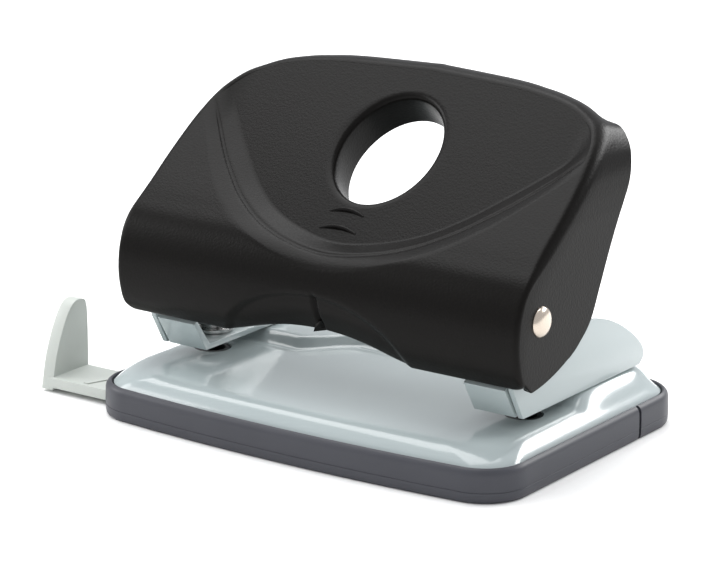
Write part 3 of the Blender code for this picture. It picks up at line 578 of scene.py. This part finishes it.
def cover_back_points(outline, last):
    """Where the cover's side band ends behind each outline point, given where the band begins.

    Beside the front line it is the back line, walked in step. Round the top it lies straight
    behind, and drops more the farther it is from the sides. Along the lower edge it is a short
    turned-in lip. Below EASED_UP_TO it is averaged over nine neighbours.
    """
    x, q = outline[:, 0], outline[:, 1]
    _, _, normal = PROFILE.at(q)
    q_straight = PROFILE.q_of_z(CREST[-1][1])
    back = PROFILE.back
    turn = np.argmin(np.abs(back[:, 1] - last[np.argmin(np.abs(q - q_straight)), 1]))
    share = np.clip((q - LOW_CORNER) / (q_straight - LOW_CORNER), 0.0, 1.0) * turn
    beside = np.stack([np.interp(share, np.arange(len(back)), back[:, k]) for k in (0, 1)], axis=1)
    in_from_side = HALF_WIDTH - np.abs(x)
    drop = 0.8 * smoothstep(in_from_side, 0.0, 3.0) + 2.9 * smoothstep(in_from_side, 4.0, 20.0)
    drop_z = last[:, 1] - drop
    upper = back[turn:]
    behind = np.stack([np.interp(drop_z, upper[:, 1], upper[:, 0]), drop_z], axis=1)
    lip = last - LIP * normal
    to_lip = smoothstep(np.abs(x), HALF_WIDTH - 0.3, HALF_WIDTH - LOW_CORNER)[:, None]
    lower = (q < LOW_CORNER + ARCH_RISE) & (np.abs(x) < HALF_WIDTH - 0.01)
    result = np.where((q > q_straight)[:, None], behind, beside)
    result[lower] = (beside + to_lip * (lip - beside))[lower]
    ring = np.concatenate([result[-4:], result, result[:4]])
    eased = np.stack([np.convolve(ring[:, k], np.ones(9) / 9, "valid") for k in (0, 1)], axis=1)
    return np.where((q < EASED_UP_TO)[:, None], eased, result)


def ray_stops(near, far):
    """How far along each ray the panel's edge, the crease and the ridge lie, as shares of it.

    Each stop is where the share of ridge_share passes 0, CREASE or 1, found on 500 places and
    joined by a straight line; least_gap keeps the stops in order and apart.
    """
    least_gap = 0.003
    t = np.linspace(0.0, 1.0, 500)
    ray = near[:, None] + t[:, None] * (far - near)[:, None]
    share, _ = ridge_share(ray[..., 0], ray[..., 1])
    stops = []
    for number, level in enumerate((0.0, CREASE, 1.0)):
        beyond = share >= level
        found = np.argmax(beyond, axis=1)
        rows = np.arange(len(found))
        before = np.maximum(found - 1, 0)
        gain = np.maximum(share[rows, found] - share[rows, before], 1e-9)
        stop = t[before] + (t[1] - t[0]) * (level - share[rows, before]) / gain
        stop = np.where(beyond.any(axis=1), stop, 1.0)
        floor = stops[-1] + least_gap if stops else 0.1
        stops.append(np.clip(stop, floor, 1.0 - least_gap * (4 - number)))
    return stops


def cover_rings(count=500, ring_counts=(26, 11, 10, 30), band_rings=5, round_rings=7):
    """Rings of points from the back of the hole's collar, over the front, to the back edge.

    Ring by ring: the collar's wall, its quarter-round rim, rays from the rim to the outline with
    one ring on each line of the relief, an elliptical quarter-round over the outline, and the
    straight side band to the back edge.
    """
    outline = cover_outline(count)
    up_panel, q_table = panel_distance_table()
    q_hole = np.interp(0.0, up_panel, q_table)
    bearing = np.arctan2((outline[:, 1] - q_hole) / HOLE_HALF[1], outline[:, 0] / HOLE_HALF[0])
    round_x, round_up = np.cos(bearing), np.sin(bearing)
    rings = []

    def on_panel(grow, depth):
        """Adds the hole's ellipse, grown by grow and sunk by depth, as a ring."""
        along = (HOLE_HALF[1] + grow) * round_up
        flat = np.array(HOLE) + along[:, None] * PANEL_UP - depth * PANEL_OUT
        rings.append(np.column_stack([(HOLE_HALF[0] + grow) * round_x, flat]))

    for depth in np.linspace(COLLAR_DEPTH, RIM_ROUND, 4, endpoint=False):
        on_panel(0.0, depth)
    for angle in np.linspace(0.0, math.pi / 2, round_rings, endpoint=False):
        on_panel(RIM_ROUND * (1.0 - math.cos(angle)), RIM_ROUND * (1.0 - math.sin(angle)))

    near = np.stack([(HOLE_HALF[0] + RIM_ROUND) * round_x,
                     np.interp((HOLE_HALF[1] + RIM_ROUND) * round_up, up_panel, q_table)], axis=1)
    tangent = np.roll(outline, -1, axis=0) - np.roll(outline, 1, axis=0)
    away = np.stack([tangent[:, 1], -tangent[:, 0]], axis=1)
    away /= np.linalg.norm(away, axis=1, keepdims=True)
    place, along, normal = PROFILE.at(outline[:, 1])
    upright = np.abs(away[:, 0])
    rising = smoothstep(outline[:, 1], 20.0, 34.0)
    round_across = 1.0 + rising * (1.7 - 0.9 * upright)
    round_deep = 1.2 + rising * (2.3 + 0.9 * upright)
    far = outline - round_across[:, None] * away
    stops = [np.zeros(count), *ray_stops(near, far), np.ones(count)]
    for start, end, steps in zip(stops, stops[1:], ring_counts):
        for part in np.arange(1, steps + 1) / steps:
            flat = near + (start + part * (end - start))[:, None] * (far - near)
            base, _, out = PROFILE.at(flat[:, 1])
            lifted = base + relief(flat[:, 0], flat[:, 1])[:, None] * out
            rings.append(np.column_stack([flat[:, 0], lifted]))

    edge = place + relief(outline[:, 0], outline[:, 1])[:, None] * normal
    away_yz = away[:, 1:2] * along
    top = (rising * (1.0 - upright))[:, None]
    sideways = upright[:, None] * (1.0, 0.0) - (1.0 - upright)[:, None] * normal
    inwards = top * LEVEL + (1.0 - top) * sideways
    for angle in np.linspace(0.0, math.pi / 2, round_rings + 1)[1:]:
        back_off = (round_across * (1.0 - math.sin(angle)))[:, None]
        down = (round_deep * (1.0 - math.cos(angle)))[:, None]
        x = outline[:, 0] - back_off[:, 0] * away[:, 0]
        rings.append(np.column_stack([x, edge - back_off * away_yz + down * inwards]))
    last = rings[-1]
    back = np.column_stack([outline[:, 0], cover_back_points(outline, last[:, 1:])])
    for share in np.linspace(0.0, 1.0, band_rings + 1)[1:]:
        rings.append(last + share * (back - last))
    return np.array(rings[::-1]) + (0.0, AXLE[1], AXLE[2])


def make_handle_cover():
    """The cover's rings given a wall inwards, with an eye for the axle in each side."""
    eye_radius = 2.15
    rings = cover_rings()
    quads = grid_quads(rings.shape[0], rings.shape[1], True)
    cover = mesh_piece("handle_shell", "handle", BLACK, rings, quads)
    wall = cover.modifiers.new("wall", "SOLIDIFY")
    wall.thickness = WALL * MM
    wall.offset = -1.0
    keep_modifiers(cover)
    shade(cover.data, 75)
    for side in (-1, 1):
        eye = ellipse(AXLE[1:], eye_radius, eye_radius, 48)
        ends = sorted((side * (HALF_WIDTH - 4), side * (HALF_WIDTH + 2)))
        cut(cover, cutter("axle_eye", *prism_points(eye, *ends, axis=0)))
    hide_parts("handle_cover")


def make_grip_marks():
    """Two low crescents under the finger hole: height H (1 - u^2)(1 - v^2) over a bowed strip.

    The strip's middle line is bow (1 - u^2) and its half width is W (1 - u^2)^(1/2).
    """
    middle_x, bow, half_width, peak, sunk = -1.4, 0.9, 0.42, 0.6, 0.08
    u, v = np.meshgrid(np.linspace(-1, 1, 41), np.linspace(-1, 1, 13), indexing="ij")
    for number, (up, half_length) in enumerate([(-17.4, 4.3), (-21.9, 4.6)]):
        x = middle_x + half_length * u
        along = up + bow * (1.0 - u * u) + half_width * v * np.sqrt(np.clip(1.0 - u * u, 0.0, 1.0))
        height = peak * (1.0 - u * u) * (1.0 - v * v) - sunk
        flat = np.array(HOLE) + along[..., None] * PANEL_UP + height[..., None] * PANEL_OUT
        points = np.concatenate([x[..., None], flat + AXLE[1:]], axis=-1)
        piece = mesh_piece(f"grip_mark_{number + 1}", "handle", BLACK,
                           points, grid_quads(41, 13, False))
        floor = piece.modifiers.new("floor", "SOLIDIFY")
        floor.thickness = 0.15 * MM
        keep_modifiers(piece)


def make_screw_posts():
    """Two hollow posts under the panel that the cover's screws bite into, cut to the panel's slope."""
    for word in ("left", "right"):
        place = middle(word + "_cover_screw")
        up = place[1] - AXLE[1] - HOLE[0]
        roof = AXLE[2] + HOLE[1] + up * math.tan(PANEL_SLOPE) - 1.2
        floor = box_mm(word + "_cover_screw")[0][2] + 2.9
        wall = [(1.5, floor), (3.1, floor), (3.3, floor + 0.2), (3.3, roof), (1.5, roof)]
        centre = (place[0], place[1], 0.0)
        post = turned(word + "_screw_post", "handle", BLACK, wall, centre)
        points = np.empty(len(post.data.vertices) * 3, np.float32)
        post.data.vertices.foreach_get("co", points)
        points = points.reshape(-1, 3)
        tilt = (points[:, 1] - place[1] * MM) * math.tan(PANEL_SLOPE)
        points[:, 2] += np.where(points[:, 2] > (roof - 0.1) * MM, tilt, 0.0)
        post.data.vertices.foreach_set("co", points.ravel())
        post.data.update()


# ---------------------------------------------------------------- base plate and tray

# How far the front edge bows forwards, and the radius of the tray's corners.
BOW = 1.9
TRAY_CORNER = 10.6
# The plate: its gap inside the tray's outline, the height of its skirt's top, its shoulder's width
# and power, and the corner radius of the flat table inside the shoulder.
PLATE_INSET = 1.8
SKIRT_TOP = 6.9
SHOULDER = 5.6
SHOULDER_POWER = 2.6
TABLE_CORNER = 15.0
# The raised pad: half its width, its back edge, its front edge at the sides, and how much farther
# back that edge lies in the middle.
PAD_HALF = 49.6
PAD_BACK = 35.0
PAD_FRONT = 0.4
PAD_STEP_BACK = 9.5
# Radius of the plate's holes round the dies.
DIE_HOLE = 4.15


def plan(inset, corner=None, side_points=46, corner_points=18, front_points=84):
    """The base's plan moved inwards by inset: straight sides, a bowed front and round corners."""
    half_x = TRAY_HIGH[0] - inset
    back = TRAY_HIGH[1] - inset
    front = TRAY_LOW[1] + BOW + inset
    radius = corner or TRAY_CORNER - inset
    centres = [(half_x - radius, back - radius), (radius - half_x, back - radius),
               (radius - half_x, front + radius), (half_x - radius, front + radius)]
    arcs = []
    for number, (x, y) in enumerate(centres):
        angle = np.radians(90.0 * number + np.linspace(0.0, 90.0, corner_points))
        arcs.append(np.stack([x + radius * np.cos(angle), y + radius * np.sin(angle)], axis=1))
    parts = []
    for number, arc in enumerate(arcs):
        following = arcs[(number + 1) % 4]
        count = front_points if number == 2 else side_points
        t = np.linspace(0.0, 1.0, count)[1:-1, None]
        line = arc[-1] + t * (following[0] - arc[-1])
        if number == 2:
            line[:, 1] -= BOW * (4 * t * (1 - t))[:, 0]
        parts += [arc, line]
    return np.vstack(parts)


def pad_depth(x, y):
    """Distance inside the raised pad's foot, whose front edge steps back in the middle.

    It is the soft least of the distances d to the three sides: -s log(sum of exp(-d / s)).
    """
    front = PAD_FRONT + PAD_STEP_BACK * (1.0 - smoothstep(np.abs(x), 13.0, 25.0))
    sides = [(y - front) * 0.93, PAD_HALF - np.abs(x), PAD_BACK - y]
    soft = 2.2
    return -soft * np.log(sum(np.exp(-np.clip(side, -30, 30) / soft) for side in sides))


def plate_height(x, y, inset):
    """Height of the plate's top: a rounded shoulder, the flat table, and the raised pad.

    The shoulder is H - h (1 - t)^SHOULDER_POWER with t from 0 at the rim to 1 at the table. The
    pad adds a smooth step, and a bead b exp(-((d + 0.55) / 0.55)^2) along its foot.
    """
    table = box_mm("right_die")[1][2] + 0.1
    pad_rise = PLATE_HIGH[2] - table
    t = np.clip((inset - PLATE_INSET) / SHOULDER, 0.0, 1.0)
    shoulder = table - (table - SKIRT_TOP) * (1.0 - t) ** SHOULDER_POWER
    depth = pad_depth(x, y)
    step = pad_rise * smoothstep(depth, -0.2, 4.2)
    bead = 0.28 * np.exp(-(((depth + 0.55) / 0.55) ** 2)) * smoothstep(inset, 5.5, 8.5)
    return shoulder + step * (0.35 + 0.65 * smoothstep(inset, PLATE_INSET, 4.0)) + bead


def make_base_plate():
    """Skirt, shoulder, table and pad as rings that shrink from the rim to the middle."""
    insets = PLATE_INSET + SHOULDER * np.linspace(0.0, 1.0, 17) ** 1.5
    rings = []
    for z in (PLATE_LOW[2], 5.0, 6.0):
        outline = plan(PLATE_INSET)
        rings.append(np.column_stack([outline, np.full(len(outline), z)]))
    for inset in insets:
        share = (inset - PLATE_INSET) / SHOULDER
        corner = (TRAY_CORNER - PLATE_INSET) * (1 - share) + TABLE_CORNER * share
        outline = plan(inset, corner)
        rings.append(np.column_stack([outline, plate_height(*outline.T, inset)]))
    edge = plan(insets[-1], TABLE_CORNER)
    for share in np.linspace(1.0, 0.015, 92)[1:]:
        outline = edge * share
        flat = insets[-1] + 40.0 * (1.0 - share)
        rings.append(np.column_stack([outline, plate_height(*outline.T, flat)]))
    rings = np.array(rings)
    count = rings.shape[1]
    last = (rings.shape[0] - 1) * count + np.arange(count)
    points = np.vstack([rings.reshape(-1, 3), rings[-1].mean(axis=0)])
    closing = fan(len(points) - 1, last)
    plate = mesh_piece("base_pressing", "base", ENAMEL, points,
                       grid_quads(rings.shape[0], count, True), [closing])
    sheet = plate.modifiers.new("sheet", "SOLIDIFY")
    sheet.thickness = 1.0 * MM
    sheet.offset = -1.0
    keep_modifiers(plate)
    for side in (-1, 1):
        hole = ellipse((side * PIN_X, PIN_Y), DIE_HOLE, DIE_HOLE, 64)
        cut(plate, cutter("die_hole", *prism_points(hole, 6.0, 12.0)))
    shade(plate.data, 40)
    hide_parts("base_plate")


def make_tray():
    """Tray as one section carried round the plan: foot, side with its parting line, lip, floor.

    The section's points are (inset, z). A window lets the paper guide through, and a slit in each
    side lets the tray's wall spring.
    """
    high = TRAY_HIGH[2]
    section = [(6.0, 0.45), (3.0, 0.45), (2.4, 0.0), (0.9, 0.0), (0.45, 0.12), (0.18, 0.45),
               (0.06, 0.95), (0.0, 1.7), (0.0, 2.15), (0.0, 2.24), (0.09, 2.3), (0.09, 2.36),
               (0.0, 2.42), (0.0, 3.2), (0.03, 4.4), (0.05, 5.4), (0.07, 5.9), (0.2, 6.4),
               (0.45, 6.85), (0.75, 7.1), (1.05, high - 0.02), (1.35, high - 0.12),
               (1.5, high - 0.45), (1.5, 6.0), (1.5, 4.0), (1.5, 1.4), (1.8, 0.95), (2.4, 0.8)]
    rings = []
    for inset, z in section:
        outline = plan(inset)
        rings.append(np.column_stack([outline, np.full(len(outline), z)]))
    rings = np.array(rings)
    count = rings.shape[1]
    under, over = rings[0].mean(axis=0), rings[-1].mean(axis=0)
    points = np.vstack([rings.reshape(-1, 3), under, over])
    centre = rings.shape[0] * count
    closing = [fan(centre, np.arange(count)),
               fan(centre + 1, (rings.shape[0] - 1) * count + np.arange(count))]
    tray = mesh_piece("tray_moulding", "chip_tray", TRAY_GREY, points,
                      grid_quads(rings.shape[0], count, True), closing)
    face_outwards(tray)
    guide_low, guide_high = box_mm("paper_guide")
    window = [(guide_low[1] - 0.4, 0.85), (guide_high[1] + 0.4, 0.85), (guide_high[1] + 0.4, 3.8),
              (guide_low[1] - 0.4, 3.8)]
    left = -TRAY_HIGH[0]
    cut(tray, cutter("guide_window", *prism_points(window, left - 5, left + 4, axis=0)))
    slit_low, slit_high = 18.5, 19.4
    for side in (-1, 1):
        x = side * TRAY_HIGH[0]
        slit = [(x - 1.7, slit_low), (x + 1.7, slit_low), (x + 1.7, slit_high), (x - 1.7, slit_high)]
        cut(tray, cutter("slit", *prism_points(slit, -1.0, 9.0)))
    shade(tray.data)
    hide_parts("chip_tray")


def make_tray_ribs():
    """Two ribs on the tray's floor that the paper guide slides between, with rounded tops."""
    guide_low, guide_high = box_mm("paper_guide")
    reach = TRAY_HIGH[0] - 1.9
    apart, half, shoulder, foot = 0.9, 0.5, 3.1, 0.7
    for name, y in (("front", guide_low[1] - apart), ("rear", guide_high[1] + apart)):
        angle = np.linspace(0.0, math.pi, 13)
        top = np.stack([y + half * np.cos(angle), shoulder + half * np.sin(angle)], axis=1)
        outline = np.vstack([[(y + half, foot)], top, [(y - half, foot)]])
        points, quads, fans = prism_points(outline, -reach, reach, axis=0)
        rib = mesh_piece(f"guide_rib_{name}", "chip_tray", TRAY_GREY,
                         points, quads, fans)
        face_outwards(rib)


def make_guide_mark():
    """Slanting mark that stands a little above the guide's bar."""
    low, high = box_mm("paper_guide")
    bar_top, proud, wide, slant = 3.4, 0.2, 1.1, 3.9
    start = low[0] + 11.0
    near, far = low[1] + 1.0, high[1] - 1.4
    outline = [(start, near), (start + wide, near), (start + slant + wide, far), (start + slant, far)]
    points, quads, fans = prism_points(outline, bar_top - proud, bar_top + proud)
    mark = mesh_piece("guide_mark", "paper_guide", PALE, points, quads, fans)
    face_outwards(mark)


# ---------------------------------------------------------------- turned and sprung pieces


def make_axle_ends():
    """Axle with its formed dome at +X, and the cap that closes its other end."""
    low, high = box_mm("axle")
    cap_low = box_mm("axle_cap")[0]
    head, shank = 3.25, 2.0
    angle = np.linspace(0.0, math.pi / 2, 15)
    for name, body_node, flip, seat, crown, start in (
        ("axle_rod", "axle", 1, high[0] - 1.9, high[0], low[0]),
        ("axle_end_cap", "axle_cap", -1, -cap_low[0] - 1.9, -cap_low[0], None),
    ):
        rim = seat + 0.45
        dome = np.stack([head * np.cos(angle) ** 0.8, rim + (crown - rim) * np.sin(angle)], axis=1)
        dome[-1, 0] = 0.0
        if start is not None:
            stem = [(0.0, start), (shank - 0.3, start), (shank, start + 0.3), (shank, seat)]
        else:
            inner = seat + 1.1
            stem = [(0.0, inner), (shank + 0.2, inner), (shank + 0.2, seat)]
        under = [(head - 0.15, seat), (head, seat + 0.15)]
        piece = turned(name, "handle", NICKEL, np.vstack([stem, under, dome]),
                       (0.0, *AXLE[1:]), "X", flip, 96)
        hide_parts(body_node)


def make_pin(word, side):
    """Punch pin with its domed top, its clip, and its spring."""
    low, high = box_mm(word + "_punch_pin")
    clip_low, clip_high = box_mm(word + "_pin_clip")
    centre = (side * PIN_X, PIN_Y, 0.0)
    radius, waist = 2.75, 2.1
    rise = np.linspace(0.0, 1.0, 12)
    cap_z = high[2] - 1.6 * (1.0 - np.sin(rise * math.pi / 2))
    cap_r = 4.0
    cap = np.stack([np.sqrt(np.clip(cap_r**2 - (cap_z - high[2] + cap_r) ** 2, 0.0, None)), cap_z], axis=1)
    cap = cap[cap[:, 0] < radius + 0.4]
    stem = [(0.0, low[2] + 1.1), (radius - 0.06, low[2] + 0.03), (radius, low[2] + 0.1),
            (radius, clip_low[2] - 0.2), (waist, clip_low[2] - 0.2), (waist, clip_high[2] + 0.2),
            (radius, clip_high[2] + 0.2), (radius, high[2] - 1.9)]
    pin = turned(word + "_pin_ground", word + "_pin", STEEL, np.vstack([stem, cap]), centre)
    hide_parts(word + "_punch_pin")
    ring = [(2.4, clip_low[2]), (4.6, clip_low[2]), (4.7, clip_low[2] + 0.1), (4.7, clip_high[2] - 0.1),
            (4.6, clip_high[2]), (2.4, clip_high[2])]
    clip = turned(word + "_clip_ring", word + "_pin", STEEL, ring, centre)
    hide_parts(word + "_pin_clip")
    make_spring(word, side)


def make_spring(word, side, wire=0.36, coil=3.75, turns=6.0, closed=0.8, per_turn=56, round_points=14):
    """Round wire along a helix: radius coil, and a lift that is close-wound at both ends."""
    low, high = box_mm(word + "_return_spring")
    bottom, top = low[2] + wire, high[2] - wire
    turn = np.linspace(0.0, turns, int(turns * per_turn) + 1)
    first = np.minimum(turn, closed)
    last = np.maximum(turn - turns + closed, 0.0)
    pitch = 2.2 * wire
    open_pitch = (top - bottom - 2 * closed * pitch) / (turns - 2 * closed)
    lift = bottom + pitch * (first + last) + open_pitch * (turn - first - last)
    angle = 2 * math.pi * turn
    path = np.stack([coil * np.cos(angle), coil * np.sin(angle), lift], axis=1)
    along = np.gradient(path, axis=0)
    along /= np.linalg.norm(along, axis=1, keepdims=True)
    outward = np.stack([np.cos(angle), np.sin(angle), np.zeros_like(angle)], axis=1)
    across = np.cross(along, outward)
    around = np.linspace(0.0, 2 * math.pi, round_points, endpoint=False)
    tube = (path[:, None] + wire * (np.cos(around)[:, None] * outward[:, None]
                                    + np.sin(around)[:, None] * across[:, None]))
    tube = tube + np.array([side * PIN_X, PIN_Y, 0.0])
    rows = len(path)
    points = np.vstack([tube.reshape(-1, 3), tube[0].mean(axis=0), tube[-1].mean(axis=0)])
    ring = np.arange(round_points)
    fans = [fan(len(points) - 2, ring), fan(len(points) - 1, (rows - 1) * round_points + ring)]
    spring = mesh_piece(word + "_spring_wire", "base", STEEL, points,
                        grid_quads(rows, round_points, True), fans)
    face_outwards(spring)
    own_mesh(spring)
    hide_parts(word + "_return_spring")


def make_fastenings(word, side):
    """Rivets, bushes, dies, washers and screws of one side, each a turned profile with small rounds."""
    centre = (side * PIN_X, PIN_Y, 0.0)
    low, high = box_mm(word + "_pin_guide")
    bush = [(2.85, low[2]), (3.5, low[2]), (3.6, low[2] + 0.1), (3.6, high[2] - 0.8),
            (4.4, high[2] - 0.8), (4.5, high[2] - 0.7), (4.5, high[2] - 0.1), (4.4, high[2]),
            (3.0, high[2]), (2.85, high[2] - 0.15)]
    piece = turned(word + "_bush", "base", STEEL, bush, centre)
    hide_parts(word + "_pin_guide")
    low, high = box_mm(word + "_die")
    die = [(2.85, low[2]), (5.9, low[2]), (6.0, low[2] + 0.1), (6.0, low[2] + 1.0),
           (5.9, low[2] + 1.1), (4.0, low[2] + 1.1), (4.0, high[2] - 0.15), (3.85, high[2]),
           (2.9, high[2]), (2.85, high[2] - 0.05)]
    piece = turned(word + "_die_ring", "base", BLACKED, die, centre)
    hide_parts(word + "_die")
    for end in ("front", "rear"):
        name = f"{word}_bracket_rivet_{end}"
        low, high = box_mm(name)
        head = high[2] - 1.3
        angle = np.linspace(0.0, math.pi / 2, 11)
        dome = np.stack([2.8 * np.cos(angle), head + 0.15 + 1.15 * np.sin(angle)], axis=1)
        dome[-1, 0] = 0.0
        stem = [(0.0, low[2]), (2.45, low[2]), (2.6, low[2] + 0.15), (2.6, low[2] + 1.0),
                (1.5, low[2] + 1.0), (1.5, head), (2.7, head)]
        place = middle(name)
        piece = turned(name + "_head", "base", ENAMEL, np.vstack([stem, dome]),
                       (place[0], place[1], 0.0))
        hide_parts(name)
    low, high = box_mm(word + "_pivot_washer")
    near, far = sorted((abs(low[0]), abs(high[0])))
    washer = [(2.2, near), (4.1, near), (4.2, near + 0.1), (4.2, far - 0.1), (4.1, far), (2.2, far)]
    piece = turned(word + "_nylon_washer", "base", NYLON, washer,
                   (0.0, *AXLE[1:]), "X", side)
    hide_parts(word + "_pivot_washer")
    name = word + "_cover_screw"
    low, high = box_mm(name)
    place = middle(name)
    seat = low[2] + 1.4
    screw = [(0.0, low[2] + 0.7), (0.5, low[2] + 0.65), (0.9, low[2] + 0.1), (2.0, low[2] + 0.1),
             (2.7, low[2] + 0.5), (3.0, seat - 0.2), (2.95, seat), (1.4, seat)]
    threads = np.arange(seat + 1.2, high[2] - 1.6, 0.5)
    for z in threads:
        screw += [(1.15, z), (1.4, z + 0.25)]
    screw += [(1.15, threads[-1] + 0.5), (1.0, high[2] - 1.0), (0.0, high[2])]
    piece = turned(word + "_screw", "handle", STEEL, screw,
                   (place[0], place[1], 0.0))
    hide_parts(name)


# ---------------------------------------------------------------- stage, lights and camera


def make_stage():
    """Pale seamless paper under the punch."""
    made, tree, shader, place = new_finish("seamless white paper", Roughness=0.9)
    fibres = node(tree, "ShaderNodeTexNoise", {"Scale": per_metre(1.5), "Detail": 3.0}, Vector=place)
    tree.links.new(two_tone(tree, fibres.outputs[0], "#F4F4F3", "#F8F8F7"), shader.inputs["Base Color"])
    mesh = bpy.data.meshes.new("paper")
    reach = 6.0
    corners = [(-reach, -reach, 0), (reach, -reach, 0), (reach, reach, 0), (-reach, reach, 0)]
    mesh.from_pydata(corners, [], [(0, 1, 2, 3)])
    mesh.materials.append(made)
    paper = bpy.data.objects.new("paper", mesh)
    paper.location.z = -0.00002
    bpy.context.scene.collection.objects.link(paper)


def area_light(name, place, target, size, power):
    """A white softbox at a place in metres, aimed at the target."""
    light = bpy.data.lights.new(name, "AREA")
    light.shape = "RECTANGLE"
    light.size, light.size_y = size
    light.energy = power
    lamp = bpy.data.objects.new(name, light)
    lamp.location = place
    lamp.rotation_euler = (Vector(target) - Vector(place)).to_track_quat("-Z", "Y").to_euler()
    bpy.context.scene.collection.objects.link(lamp)


def make_lights():
    """Even white surroundings, with softboxes overhead, to the left and behind."""
    world = bpy.data.worlds.new("studio")
    world.use_nodes = True
    background = world.node_tree.nodes["Background"]
    background.inputs["Color"].default_value = linear("#FAFBFF")
    background.inputs["Strength"].default_value = 0.7
    bpy.context.scene.world = world
    aim = (0.0, 0.0, 0.03)
    area_light("overhead softbox", (-0.25, 0.15, 0.9), aim, (0.9, 0.9), 9.0)
    area_light("left softbox", (-0.9, -0.35, 0.45), aim, (0.6, 0.5), 4.5)
    area_light("rear strip", (0.35, 0.8, 0.5), aim, (0.7, 0.25), 6.0)


def plain_tones():
    """Shows colours as they are, without a film curve."""
    bpy.context.scene.view_settings.view_transform = "Standard"


def make_camera():
    """Long lens, in front and to the right of the punch, a little above it."""
    azimuth, elevation, roll = math.radians(34.6), math.radians(15.9), math.radians(0.55)
    distance = 0.708
    target = Vector((-2.2, -8.7, 31.4)) * MM
    back = Vector((math.sin(azimuth) * math.cos(elevation), -math.cos(azimuth) * math.cos(elevation),
                   math.sin(elevation)))
    lens = bpy.data.cameras.new("camera")
    lens.lens = 171.3
    lens.sensor_width = 36.0
    lens.clip_start = 0.01
    camera = bpy.data.objects.new("camera", lens)
    turn = (-back).to_track_quat("-Z", "Y").to_matrix() @ Matrix.Rotation(roll, 3, "Z")
    camera.matrix_world = Matrix.Translation(target + back * distance) @ turn.to_4x4()
    bpy.context.scene.collection.objects.link(camera)
    bpy.context.scene.camera = camera


# ---------------------------------------------------------------- assembly

make_camera()
plain_tones()
make_lights()
make_stage()
make_handle_cover()
make_grip_marks()
make_screw_posts()
make_base_plate()
make_tray()
make_tray_ribs()
make_axle_ends()
for word, side in (("left", -1), ("right", 1)):
    make_pin(word, side)
    make_fastenings(word, side)
    softened_copy(word + "_bracket", "base", ENAMEL, 0.4)
softened_copy("lever_plate", "handle", ZINC, 0.25)
softened_copy("paper_guide", "paper_guide", PALE, 0.5, 4)
make_guide_mark()
